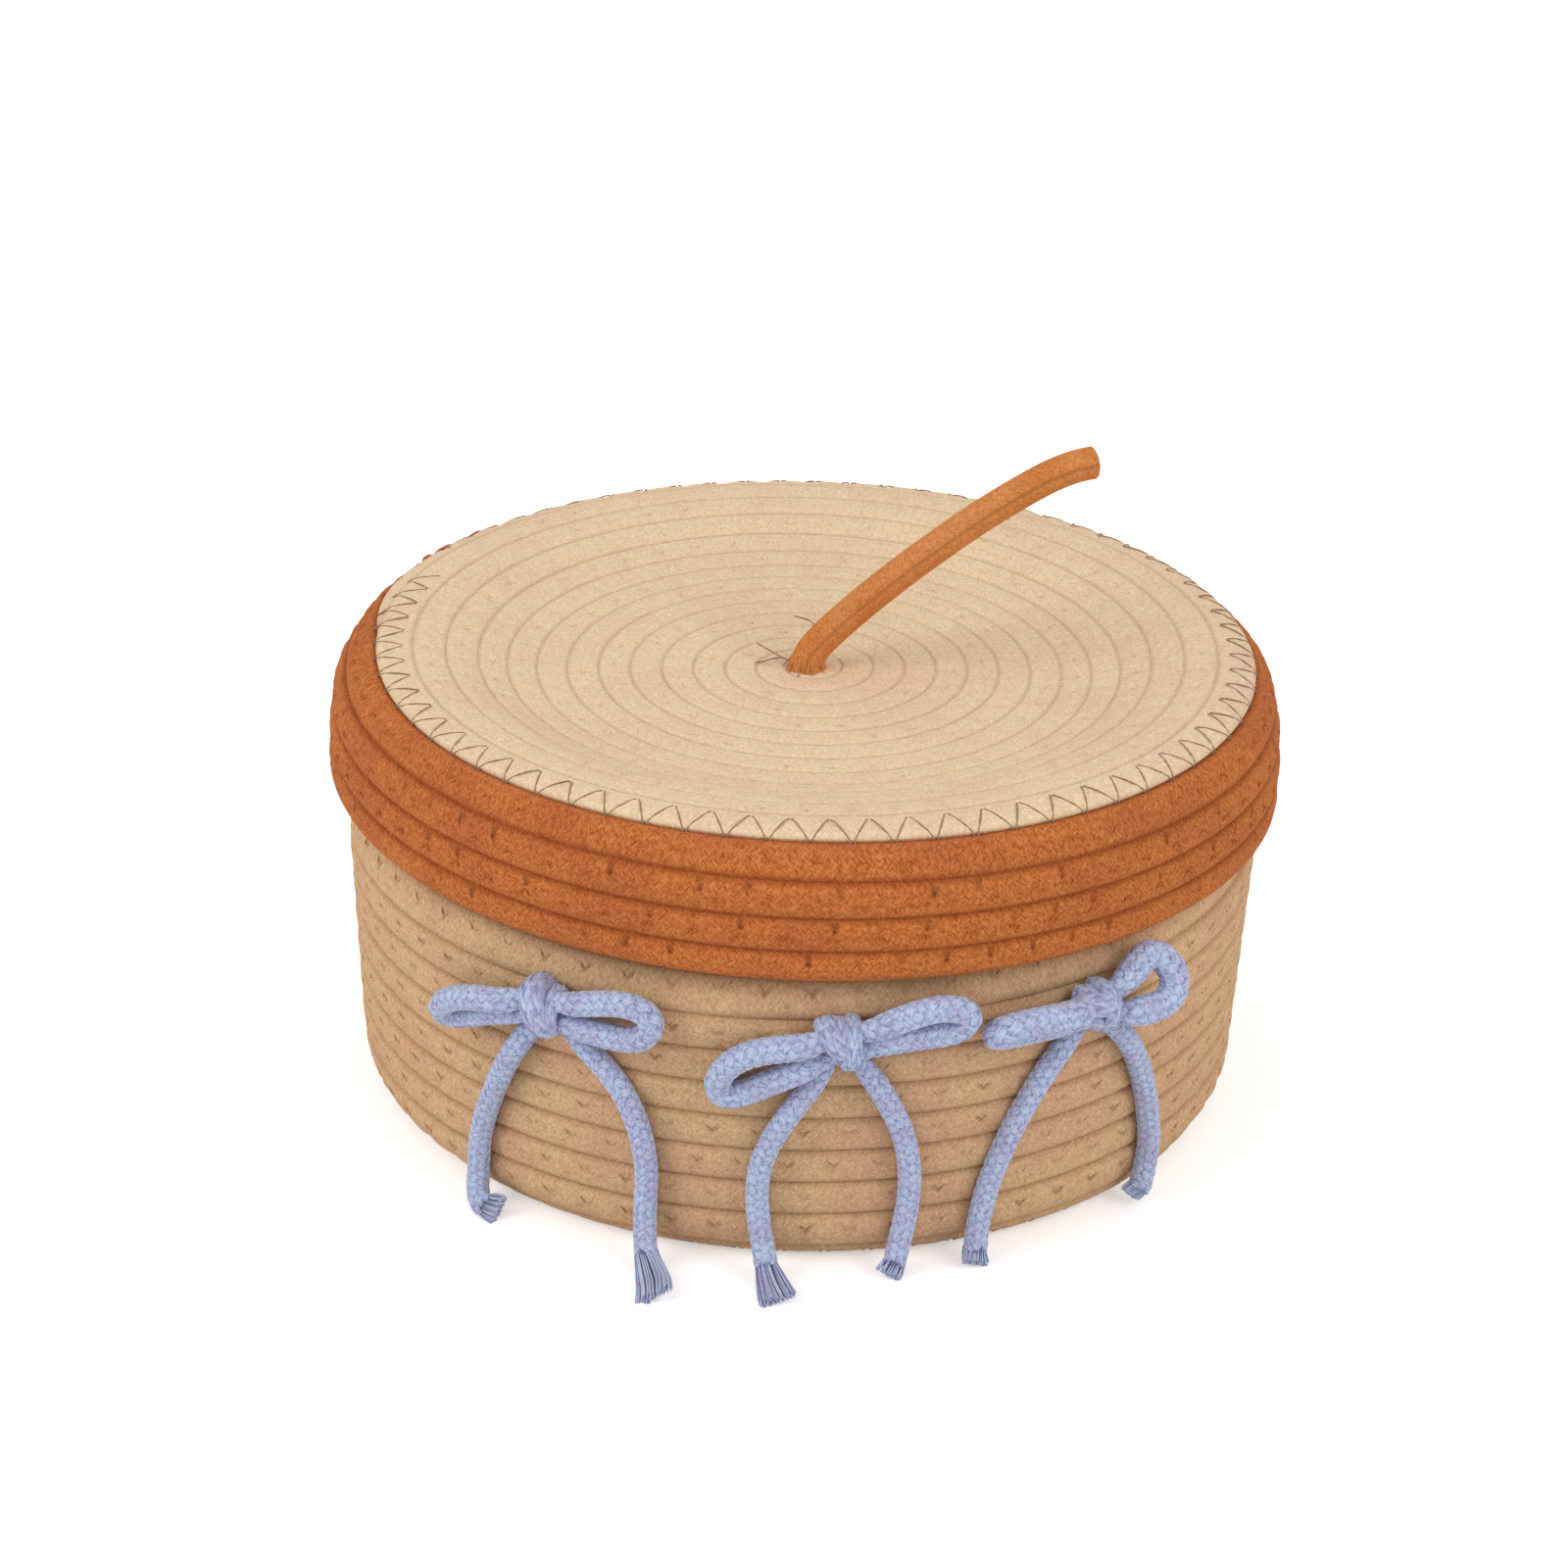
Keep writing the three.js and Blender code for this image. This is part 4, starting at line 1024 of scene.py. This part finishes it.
def needle_marks(add, pitch, across, shares):
    """How strongly a place shows a stitch that presses the rope in, or a needle hole, which the
    finish paints as shade and lowers as a dent. The shares are those of the thread and of the
    hole, before a groove and after it."""
    marks = 0.0
    for side, groove, hole, shift, (line_share, hole_share) in (
            ("next", -pitch / 2, -reach_in, 0.0, shares[0]),
            ("last", pitch / 2, reach_out, 0.5, shares[1])):
        phase, held = [add("ShaderNodeAttribute", attribute_name=label + side).outputs["Fac"]
                       for label in ("phase_", "held_")]
        off_groove = add("ShaderNodeMath", [across, groove])
        sway = add("ShaderNodeMath", [phase, 0.5], operation="PINGPONG")
        leg = add("ShaderNodeMapRange", {
            "Value": off_groove, "From Min": 0.0, "From Max": hole, "To Min": legs_meet,
            "To Max": shift})
        off_leg = add("ShaderNodeMath", [sway, leg], operation="SUBTRACT")
        beside = add("ShaderNodeMath", [off_leg], operation="ABSOLUTE")
        line = add("ShaderNodeMapRange", {
            "Value": beside, "From Min": line_core / stitch_length,
            "From Max": line_reach / stitch_length, "To Min": line_share, "To Max": 0.0},
            interpolation_type="SMOOTHSTEP")
        past_hole = add("ShaderNodeMath", [off_groove, hole], operation="DIVIDE")
        reached = add("ShaderNodeMath", [past_hole, 1.0], operation="LESS_THAN")
        off_hole = add("ShaderNodeMath", [sway, shift], operation="SUBTRACT")
        way = add("ShaderNodeMath", [off_hole, stitch_length], operation="MULTIPLY")
        aside = add("ShaderNodeMath", [off_groove, hole], operation="SUBTRACT")
        distance = add("ShaderNodeVectorMath", [add("ShaderNodeCombineXYZ", [way, aside])],
                       operation="LENGTH").outputs["Value"]
        near = add("ShaderNodeMapRange", {
            "Value": distance, "From Min": line_fades_from, "From Max": line_fades_by,
            "To Min": reached, "To Max": 0.0}, interpolation_type="SMOOTHSTEP")
        pressed = add("ShaderNodeMath", [line, near], operation="MULTIPLY")
        pierced = add("ShaderNodeMapRange", {
            "Value": distance, "From Min": hole_core, "From Max": hole_reach,
            "To Min": hole_share, "To Max": 0.0}, interpolation_type="SMOOTHSTEP")
        mark = add("ShaderNodeMath", [pressed, pierced], operation="MAXIMUM")
        kept = add("ShaderNodeMath", [mark, held], operation="MULTIPLY")
        marks = add("ShaderNodeMath", [kept, marks], operation="MAXIMUM")
    return marks


def rope_finish(name, light, dark, depth, sheen, sewing=None):
    """Felted braided cotton rope: fibres lighter and darker, each in two tones that drift along
    the rope. Where it is sewn, painted shade darkens it towards the grooves and where the
    needle went."""
    made, add = cloth(name, sheen, **{"Sheen Tint": linear(light[0])})
    where = add("ShaderNodeTexCoord").outputs["Object"]
    along, around, across = [add("ShaderNodeAttribute", attribute_name=label).outputs["Fac"]
                             for label in ("along", "around", "across")]
    fibres, plaits = braid_fibres(add, where, along, around)
    fine = add("ShaderNodeTexNoise", {
        "Vector": where, "Scale": 1 / felt_grain, "Detail": 2.0, "Roughness": 0.6})
    felt = add("ShaderNodeMath", [fine, 0.3, fibres], operation="MULTIPLY_ADD")
    tone = add("ShaderNodeMath", [plaits, plait_contrast, felt], operation="MULTIPLY_ADD")
    lighter = add("ShaderNodeMapRange", {"Value": tone, "From Min": 0.45, "From Max": 0.85},
                  interpolation_type="SMOOTHSTEP")
    large = add("ShaderNodeTexNoise", {"Vector": where, "Scale": 1 / dye_drift, "Detail": 2.0})
    drift = add("ShaderNodeMapRange", {"Value": large, "From Min": 0.4, "From Max": 0.62},
                interpolation_type="SMOOTHSTEP")
    ends = [add("ShaderNodeMix", {0: drift, 6: linear(usual), 7: linear(other)}, data_type="RGBA")
            for usual, other in (dark, light)]
    colour = add("ShaderNodeMix", {0: lighter, 6: ends[0], 7: ends[1]}, data_type="RGBA")
    height = felt
    if sewing:
        pitch, crease, crease_from, crease_share, mark, mark_shares = sewing
        # The crease colour is painted shade, darker towards the grooves.
        side = add("ShaderNodeMath", [across], operation="ABSOLUTE")
        share = add("ShaderNodeMapRange", {
            "Value": side, "From Min": crease_from * pitch / 2, "From Max": pitch / 2,
            "To Max": crease_share}, interpolation_type="SMOOTHSTEP")
        colour = add("ShaderNodeMix", {0: share, 6: colour, 7: linear(crease)}, data_type="RGBA")
        uneven = add("ShaderNodeTexNoise", {
            "Vector": where, "Scale": 1 / tension_drift, "Detail": 1.0})
        tension = add("ShaderNodeMapRange", {"Value": uneven, "From Min": 0.4, "From Max": 0.62},
                      interpolation_type="SMOOTHSTEP")
        # The mark colour is painted shade in the needle holes and along the threads that press the
        # rope in.
        needled = needle_marks(add, pitch, across, mark_shares)
        marks = add("ShaderNodeMath", [needled, tension], operation="MULTIPLY")
        colour = add("ShaderNodeMix", {0: marks, 6: colour, 7: linear(mark)}, data_type="RGBA")
        height = add("ShaderNodeMath", [marks, -0.7, height], operation="MULTIPLY_ADD")
    return coat(made, colour, add("ShaderNodeBump", {
        "Strength": 0.8, "Distance": depth, "Height": height}))


def braid_finish(name, light, middle, dark):
    """Soft cotton cord: a flat strand is light on its crown, with painted shade where it dives
    under another one or meets its neighbour, and fine fibres lie along it."""
    made, add = cloth(name, 0.3)
    where = add("ShaderNodeTexCoord").outputs["Object"]
    along, flank, rise = [add("ShaderNodeAttribute", attribute_name=label).outputs["Fac"]
                          for label in ("along", "flank", "rise")]
    lines = add("ShaderNodeCombineXYZ", [
        add("ShaderNodeMath", [along, strand_fibre_length], operation="DIVIDE"),
        add("ShaderNodeMath", [flank, strand_fibres_across], operation="MULTIPLY"), rise])
    streaks = add("ShaderNodeTexNoise", {
        "Vector": lines, "Scale": 1.0, "Detail": 2.0, "Roughness": 0.6})
    fuzz = add("ShaderNodeTexNoise", {
        "Vector": where, "Scale": 1 / cord_fuzz, "Detail": 2.0, "Roughness": 0.65})
    felt = add("ShaderNodeMath", [fuzz, 0.7, streaks], operation="MULTIPLY_ADD")
    # Painted shade: darker at the strand's edges and where it dives, from flank and rise.
    aside = add("ShaderNodeMath", [flank], operation="ABSOLUTE")
    crown = add("ShaderNodeMapRange", {
        "Value": aside, "From Min": 0.5, "From Max": 1.0, "To Min": 1.0, "To Max": 0.55},
        interpolation_type="SMOOTHSTEP")
    level = add("ShaderNodeMapRange", {"Value": rise, "From Min": -0.8, "From Max": 0.8},
                clamp=False)
    height = add("ShaderNodeMath", [crown, level], operation="MULTIPLY")
    raised = add("ShaderNodeMath", [height, 0.55, -0.85], operation="MULTIPLY_ADD")
    tone = add("ShaderNodeMath", [felt, 1.5, raised], operation="MULTIPLY_ADD")
    colour = linear(dark)
    for least, most, lighter in ((0.4, 0.72, middle), (0.72, 1.15, light)):
        share = add("ShaderNodeMapRange", {"Value": tone, "From Min": least, "From Max": most},
                    interpolation_type="SMOOTHSTEP")
        colour = add("ShaderNodeMix", {0: share, 6: colour, 7: linear(lighter)}, data_type="RGBA")
    large = add("ShaderNodeTexNoise", {"Vector": where, "Scale": 1 / cord_drift, "Detail": 1.0})
    tint = add("ShaderNodeMapRange", {"Value": large, "From Min": 0.45, "From Max": 0.6},
               interpolation_type="SMOOTHSTEP")
    tinted = add("ShaderNodeMix", {0: tint, 6: linear("#ffffff"), 7: linear("#fdf0f6")},
                 data_type="RGBA")
    colour = add("ShaderNodeMix", {0: 1.0, 6: colour, 7: tinted}, data_type="RGBA",
                 blend_type="MULTIPLY")
    return coat(made, colour, add("ShaderNodeBump", {
        "Strength": 0.9, "Distance": 0.3 * mm, "Height": felt}))


def thread_finish(name, light, dark):
    """Sewing thread, matt, with painted shade in small patches where its twist turns away."""
    made, add = cloth(name, 0.1)
    where = add("ShaderNodeTexCoord").outputs["Object"]
    twist = add("ShaderNodeTexNoise", {"Vector": where, "Scale": 1 / thread_twist, "Detail": 1.0})
    share = add("ShaderNodeMapRange", {"Value": twist, "From Min": 0.35, "From Max": 0.65},
                interpolation_type="SMOOTHSTEP")
    return coat(made, add("ShaderNodeMix", {0: share, 6: linear(dark), 7: linear(light)},
                          data_type="RGBA"))


# Soft 8 mm cotton rope, braided round a core and felted by washing. Its plaits hardly show, and
# what is seen is short fibres, a little lighter and darker, that lie slanting both ways.
# The lid's rope is undyed and pressed flat: pale, warm and matt, with soft lines between
# courses, from its shallow grooves and a little painted shade, and faint painted shade where the
# needle went.
lid_cream = rope_finish(
    "lid_cream_cotton", ("#f2dab9", "#f0d4b6"), ("#dcbb92", "#dab593"), 0.35 * mm, 0.2,
    (lid_pitch, "#bd9c74", 0.7, 0.14, "#a58661", ((0.04, 0.08), (0.0, 0.03))))
# The wall's rope is the same, painted darker and browner as shade, since it stands in its own
# shade. Its courses are rounder, with painted shade in the grooves, and a small V of painted
# shade shows where each stitch pulls the rope in.
shaded_wall_cream = rope_finish(
    "wall_cream_cotton", ("#e1bd93", "#e0b48e"), ("#c0976d", "#bf916f"), 0.5 * mm, 0.2,
    (basket_pitch, "#9a764f", 0.6, 0.3, "#86623f", ((0.7, 0.6), (0.1, 0.2))))
# Cotton takes the rust dye unevenly, orange on top; the deep brown in the grooves and needle
# holes is painted shade.
rust_cotton = rope_finish(
    "rust_cotton", ("#d38046", "#c97543"), ("#9e511f", "#994d22"), 0.45 * mm, 0.25,
    (rim_pitch, "#8c3e10", 0.6, 0.4, "#6c2c0c", ((0.0, 0.0), (0.6, 0.85))))
# The stem is that rope before it is sewn: smoother and a little lighter, with no grooves.
stem_cotton = rope_finish(
    "stem_rust_cotton", ("#de9558", "#d68743"), ("#ba723c", "#b26730"), 0.35 * mm, 0.25)
# The bows are soft cotton cord, braided from flat strands: pale blue that drifts to lilac, fluffy
# on the strands, with painted shade in the small gaps between them. Pulled tight in a knot, the
# gaps close, so the taut cord's painted shade is lighter.
blue_cotton = braid_finish("blue_cotton", "#c0cbe6", "#98a5c9", "#55618b")
taut_blue_cotton = braid_finish("taut_blue_cotton", "#c3cee8", "#aebbdb", "#8a97be")
# Sewing thread is matt too. It has the rope's colour and sinks into it, so that it hardly shows,
# but for the brown one that holds the pale rope to the rust rope. The wall's thread is darker,
# with the same painted shade as the wall's rope.
lid_thread = thread_finish("lid_thread", "#ecd2ac", "#dcbc92")
shaded_wall_thread = thread_finish("shaded_wall_thread", "#d6ae80", "#bd946a")
rust_thread = thread_finish("rust_thread", "#c46c30", "#a8521c")
seam_thread = thread_finish("seam_thread", "#ad866a", "#8b664c")


def smooth_path(points, step):
    """Points at even steps along a centripetal Catmull-Rom curve through the given points."""
    points = [Vector(p) for p in points]
    ends = [2 * points[0] - points[1], *points, 2 * points[-1] - points[-2]]
    drawn, parts = [], 24
    for before, first, second, after in zip(ends, ends[1:], ends[2:], ends[3:]):
        knots = [0.0]
        for a, b in ((before, first), (first, second), (second, after)):
            knots.append(knots[-1] + max((b - a).length, 1e-9) ** 0.5)
        t0, t1, t2, t3 = knots
        for i in range(parts):
            t = t1 + (t2 - t1) * i / parts
            a1 = before.lerp(first, (t - t0) / (t1 - t0))
            a2 = first.lerp(second, (t - t1) / (t2 - t1))
            a3 = second.lerp(after, (t - t2) / (t3 - t2))
            b1 = a1.lerp(a2, (t - t0) / (t2 - t0))
            b2 = a2.lerp(a3, (t - t1) / (t3 - t1))
            drawn.append(b1.lerp(b2, (t - t1) / (t2 - t1)))
    drawn.append(points[-1])
    places = np.array(drawn)
    lengths = np.linalg.norm(np.diff(places, axis=0), axis=1)
    lengths = np.concatenate([[0], np.cumsum(lengths)])
    even = np.linspace(0, lengths[-1], max(2, math.ceil(lengths[-1] / step) + 1))
    return [Vector(p) for p in np.column_stack(
        [np.interp(even, lengths, places[:, k]) for k in range(3)])]


def length_of(points):
    return sum((b - a).length for a, b in zip(points, points[1:]))


def wall_face(azimuth, height):
    """The radius of the wall's outer face, with the facets that the CAD's coils have."""
    low, high = corner_top, basket_line.length
    while high - low > 1e-9:
        middle = (low + high) / 2
        if basket_line.at(middle)[1] < height:
            low = middle
        else:
            high = middle
    step = full_turn / wall_facets
    into_step = azimuth % step - step / 2
    facet = math.cos(step / 2) / math.cos(into_step)
    return (basket_line.at(low)[0] + rope_thickness / 2) * facet


def off_wall(bow, across, height, lift):
    """A point off the wall, in millimetres round it from the knot, above the table and off it."""
    azimuth = math.radians(bow["azimuth"])
    azimuth += across * mm / wall_face(azimuth, bow["height"] * mm)
    radius = wall_face(azimuth, height * mm) + cord_gap + cord_diameter / 2 + lift * mm
    return Vector((radius * math.cos(azimuth), radius * math.sin(azimuth), height * mm))


def loop_path(bow, side, loop):
    """A loop leaves the knot with one strand above the other, swings out and comes back."""
    root_spread = (cord_diameter * loop_end_scale + loop_root_gap) / 2 / mm
    swell = max(0, loop["opening"] / 2 - root_spread * math.sqrt(0.5))
    knot_lift = (knot_depth - cord_diameter) / 2 / mm
    root_lift = loop_root_lift / mm
    inset = side * loop_root_inset / mm
    twist = math.radians(loop["twist"])
    points = [off_wall(bow, inset, bow["height"] + root_spread, knot_lift)]
    for i in range(1, loop_points):
        t = i / loop_points
        share = math.sin(math.pi * t) ** loop_reach_power
        reach = loop["reach"] * share
        spread = root_spread * math.cos(math.pi * t) + swell * math.sin(2 * math.pi * t)
        up = loop["slope"] * reach - loop["droop"] * share ** 2 + spread * math.cos(twist)
        stand = root_lift + (loop["tip_lift"] - root_lift) * share
        points.append(off_wall(bow, side * reach, bow["height"] + up,
                               max(0, stand + spread * math.sin(twist))))
    points.append(off_wall(bow, inset, bow["height"] - root_spread, knot_lift))
    return smooth_path(points, cord_step)


def carried_off(points, first):
    """The way off what a cord lies on, at each of its points, carried along from the first."""
    ways, off, before = [], Vector(first), None
    for i, point in enumerate(points):
        tangent = (points[min(i + 1, len(points) - 1)] - points[max(i - 1, 0)]).normalized()
        if before is not None:
            off = before.rotation_difference(tangent) @ off
        off = (off - off.dot(tangent) * tangent).normalized()
        ways.append(off)
        before = tangent
    return ways


def swollen(away, full):
    """How full a cord is at distances from the knot that grips it."""
    return loop_end_scale + (full - loop_end_scale) * np.clip(away / knot_grip, 0, 1)


def add_cord(name, points, off, fullness, fray=None):
    """A cord along points. Its end comes undone over the fray's length and spreads to its width."""
    shown, more = len(points), {}
    if fray:
        length, width, locks, fibres, seed = fray
        shown = len(points) - round(length * mm / cord_step)
        undone = polyline(name + "_fray_path", points[shown - 3:], off=off[shown - 3:])
        more = {"Fray": placed(name + "_fray_path", undone), "Spread": width * mm, "Locks": locks,
                "Fibres": fibres, "Fibre": fibre_diameter, "Seed": seed}
    source = polyline(name + "_path", points[:shown], off=off[:shown], fullness=fullness[:shown])
    cord = made_by(braided_cord, name + "_cord", source,
                   {**loose_braid, "Material": blue_cotton, **more}, "basket")
    if fray:
        bpy.data.objects.remove(more["Fray"])
    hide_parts(name)
    tuple(points[0])
    length_of(points)
    [tuple(p) for p in points]


def add_knot(name, bow):
    """The last turns of the cord round the roots of the loops, pulled tight. They face away from
    a flatter run inside the knot, close to the wall."""
    inner_share, inner_lift = 0.2, 2.2
    runs, off, fullness = [], [], []
    for width, places in bow["knot"]:
        run = smooth_path([off_wall(bow, across, bow["height"] + up, lift)
                           for across, up, lift in places], cord_step)
        middles = smooth_path([off_wall(bow, across, bow["height"] + inner_share * up, inner_lift)
                               for across, up, _ in places], cord_step)
        count = len(run)
        middles = [middles[round(i * (len(middles) - 1) / (count - 1))] for i in range(count)]
        runs.append(run)
        off += [(point - middle).normalized() for point, middle in zip(run, middles)]
        fullness += [width * mm / cord_diameter] * count
    source = polyline(name + "_path", *runs, off=off, fullness=fullness)
    knot = made_by(braided_cord, name + "_turns", source,
                   {**tight_braid, "Material": taut_blue_cotton}, "basket")
    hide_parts(name + "_knot")
    return knot


def add_bow(name, bow):
    sides = {"left": -1, "right": 1}
    azimuth = math.radians(bow["azimuth"])
    outward = Vector((math.cos(azimuth), math.sin(azimuth), 0))
    knot = add_knot(name, bow)
    for side, way in sides.items():
        points = loop_path(bow, way, bow["loops"][side])
        off = [Vector((p.x, p.y, 0)).normalized() for p in points]
        away = np.array([min(i, len(points) - 1 - i) for i in range(len(points))]) * cord_step
        add_cord(f"{name}_loop_{side}", points, off, swollen(away, bow["loop_fullness"]))
    for side in sides:
        points = smooth_path([off_wall(bow, *place) for place in bow["tails"][side]], cord_step)
        away = np.arange(len(points)) * cord_step
        add_cord(f"{name}_tail_{side}", points, carried_off(points, outward), swollen(away, 1),
                 bow["fray"][side])


def add_ropes():
    add_rope("basket_base", basket_rope, curled_in, basket_split, 3 * mm,
             shaded_wall_cream, "basket")
    add_rope("basket_wall", basket_rope, basket_split, basket_turns, 1.7 * mm,
             shaded_wall_cream, "basket")
    add_rope("lid_disc", disc_rope, curled_in, splice_start + splice_turns, 1.3 * mm,
             lid_cream, "lid")
    add_rope("lid_rim", rim_rope, splice_start, rim_end, 1.3 * mm,
             rust_cotton, "lid")


def add_sewing():
    plain = stitch_object("plain_stitch", reach_in, reach_out, (0.15, 0.6))
    seam = stitch_object("seam_stitch", seam_reach_in, seam_reach_out,
                         (0.1, 0.3, 0.5, 0.7, 0.85, 0.95))
    for side, face in (("outer", 1), ("inner", -1)):
        add_stitches(f"basket_{side}_stitches", basket_rope, sewn_from, basket_turns - 1, face,
                     plain, shaded_wall_thread, "cream_rope", "basket")
        add_stitches(f"lid_{side}_stitches", disc_rope, sewn_from, seam_start - 1, face, plain,
                     lid_thread, "cream_rope", "lid", Sink=lid_thread_sink)
        add_stitches(f"rim_{side}_stitches", rim_rope, splice_start, rim_end - 1, face, plain,
                     rust_thread, "rust_rope", "lid")
        add_stitches(f"seam_{side}_stitches", disc_rope, seam_start - 1, splice_start, face, seam,
                     seam_thread, "rust_rope", "lid", length=seam_stitch_length,
                     Thread=seam_thread_diameter, Sink=seam_thread_sink)
    for stitch in (plain, seam):
        bpy.data.objects.remove(stitch)


def add_tacks(name, diameter, runs, material):
    """Short pieces of thread along given points, on the lid."""
    runs = [smooth_path(run, tack_step) for run in runs]
    up = [(0, 0.3, 1)] * sum(len(run) for run in runs)
    along = np.concatenate([np.arange(len(run)) * tack_step for run in runs])
    source = polyline(name + "_paths", *runs, off=up, fullness=np.ones(len(up)), along=along)
    made_by(free_rope, name, source,
            {"Diameter": diameter, "Sides": tack_sides, "Material": material}, "lid")


def add_stem():
    """The stem's rope stands by itself. Its foot spreads, and its end is rounded."""
    points = smooth_path(
        [(across * mm, 0, dish_face + up * mm) for across, up in stem_route], stem_step)
    points = points[:-3] + smooth_path(points[-3:], stem_end_step)
    from_end = np.array([length_of(points[i:]) for i in range(len(points))])
    along = from_end[0] - from_end
    into_end = np.clip(1 - from_end / stem_end_round, 0, 1)
    fullness = np.sqrt(np.clip(1 - into_end ** 2.4, 0.1, 1))
    fullness *= 1 + foot_spread * np.clip(1 - along / foot_height, 0, 1) ** 2
    source = polyline("stem_path", points, off=[(0, 1, 0)] * len(points), fullness=fullness,
                      along=along)
    stem = made_by(free_rope, "stem_rope", source,
                   {"Diameter": stem_diameter, "Sides": stem_sides, "Material": stem_cotton},
                   "lid")
    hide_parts("stem")

    tacks = []
    for angle in tack_angles:
        x, y = math.cos(math.radians(angle)), math.sin(math.radians(angle))
        tacks.append([(tack_shift + out_x * x, out_y * y, up) for out_x, out_y, up in tack_shape])
    runs = [[Vector((x * mm, y * mm, dish_face + z * mm)) for x, y, z in run]
            for run in tacks + tack_ends]
    add_tacks("stem_tacks", tack_thread, runs, seam_thread)


def add_splice_tacks():
    """Yarn laid over the splice, with its ends sunk into the rope."""
    runs = []
    for first, last, across in splice_tacks:
        run = []
        for share in (0, 0.35, 0.7, 1):
            turn = lid_seam + (first + (last - first) * share) / 360
            radius, height, heading = lid_line.at(lid_pitch * (turn + splice_course) + across * mm)
            lift = rope_thickness / 2 - (yarn_end_sink if share in (0, 1) else yarn_sink)
            radius, height = radius - lift * math.sin(heading), height + lift * math.cos(heading)
            angle = lid_start + turn * full_turn
            run.append(Vector((radius * math.cos(angle), radius * math.sin(angle), height)))
        runs.append(run)
    add_tacks("splice_tacks", splice_yarn, runs, rust_thread)


def add_camera():
    """The photo's camera: 1.3 m away, 26.06 degrees above the table and rolled a little."""
    towards = Vector((0, -math.cos(camera_lift), math.sin(camera_lift)))
    place = camera_target + camera_distance * towards
    forward = (camera_target - place).normalized()
    right = Vector((1, 0, 0))
    up = right.cross(forward)
    rolled_right = math.cos(camera_roll) * right + math.sin(camera_roll) * up
    rolled_up = math.cos(camera_roll) * up - math.sin(camera_roll) * right
    aim = camera_target + aim_right * rolled_right + aim_up * rolled_up
    data = bpy.data.cameras.new("photo_camera")
    data.sensor_width = 36
    data.lens = camera_lens
    data.clip_start, data.clip_end = 0.01, 20
    camera = placed("photo_camera", data)
    look = (aim - place).to_track_quat("-Z", "Y").to_matrix().to_4x4()
    look.translation = place
    camera.matrix_world = look @ Matrix.Rotation(camera_roll, 4, "Z")
    scene.camera = camera


def add_soft_box(name, power, place):
    """A square lamp that faces the basket."""
    data = bpy.data.lights.new(name, "AREA")
    data.size = soft_box_size
    data.energy = power
    lamp = placed(name, data)
    lamp.location = place
    towards = Vector(soft_box_aim) - Vector(place)
    lamp.rotation_euler = towards.to_track_quat("-Z", "Y").to_euler()
    return lamp


def camera_sees(tree, otherwise, seen):
    """A value that the camera sees, and another for the light on the object."""
    camera_ray = add_node(tree, "ShaderNodeLightPath").outputs["Is Camera Ray"]
    return add_node(tree, "ShaderNodeMapRange", {
        "Value": camera_ray, "To Min": otherwise, "To Max": seen}).outputs[0]


def add_stage():
    """A pale floor, white surroundings and a soft box on either side, the left one stronger."""
    world = bpy.data.worlds.new("surroundings")
    scene.world = world
    world.use_nodes = True
    surroundings = world.node_tree.nodes["Background"].inputs
    surroundings["Color"].default_value = (1, 1, 1, 1)
    strength = camera_sees(world.node_tree, surroundings_light, 1.0)
    world.node_tree.links.new(strength, surroundings["Strength"])

    side = 4.0
    mesh = bpy.data.meshes.new("floor")
    mesh.from_pydata([(-side, -side, 0), (side, -side, 0), (side, side, 0), (-side, side, 0)], [],
                     [(0, 1, 2, 3)])
    floor = placed("floor", mesh)
    made, _ = cloth("floor", 0.0, **{
        "Base Color": (floor_grey, floor_grey, floor_grey, 1), "Emission Color": (1, 1, 1, 1)})
    made.node_tree.links.new(camera_sees(made.node_tree, 0.0, floor_glow),
                             made.node_tree.nodes["Principled BSDF"].inputs["Emission Strength"])
    mesh.materials.append(made)
    [add_soft_box(name, *box) for name, box in soft_boxes.items()]


add_camera()
for bow_name, bow in bows.items():
    add_bow(bow_name, bow)
add_stem()
add_splice_tacks()
add_ropes()
add_sewing()
for winding in (basket_rope, disc_rope, rim_rope):
    bpy.data.objects.remove(winding.curve)

add_stage()
scene.view_settings.view_transform = "Standard"
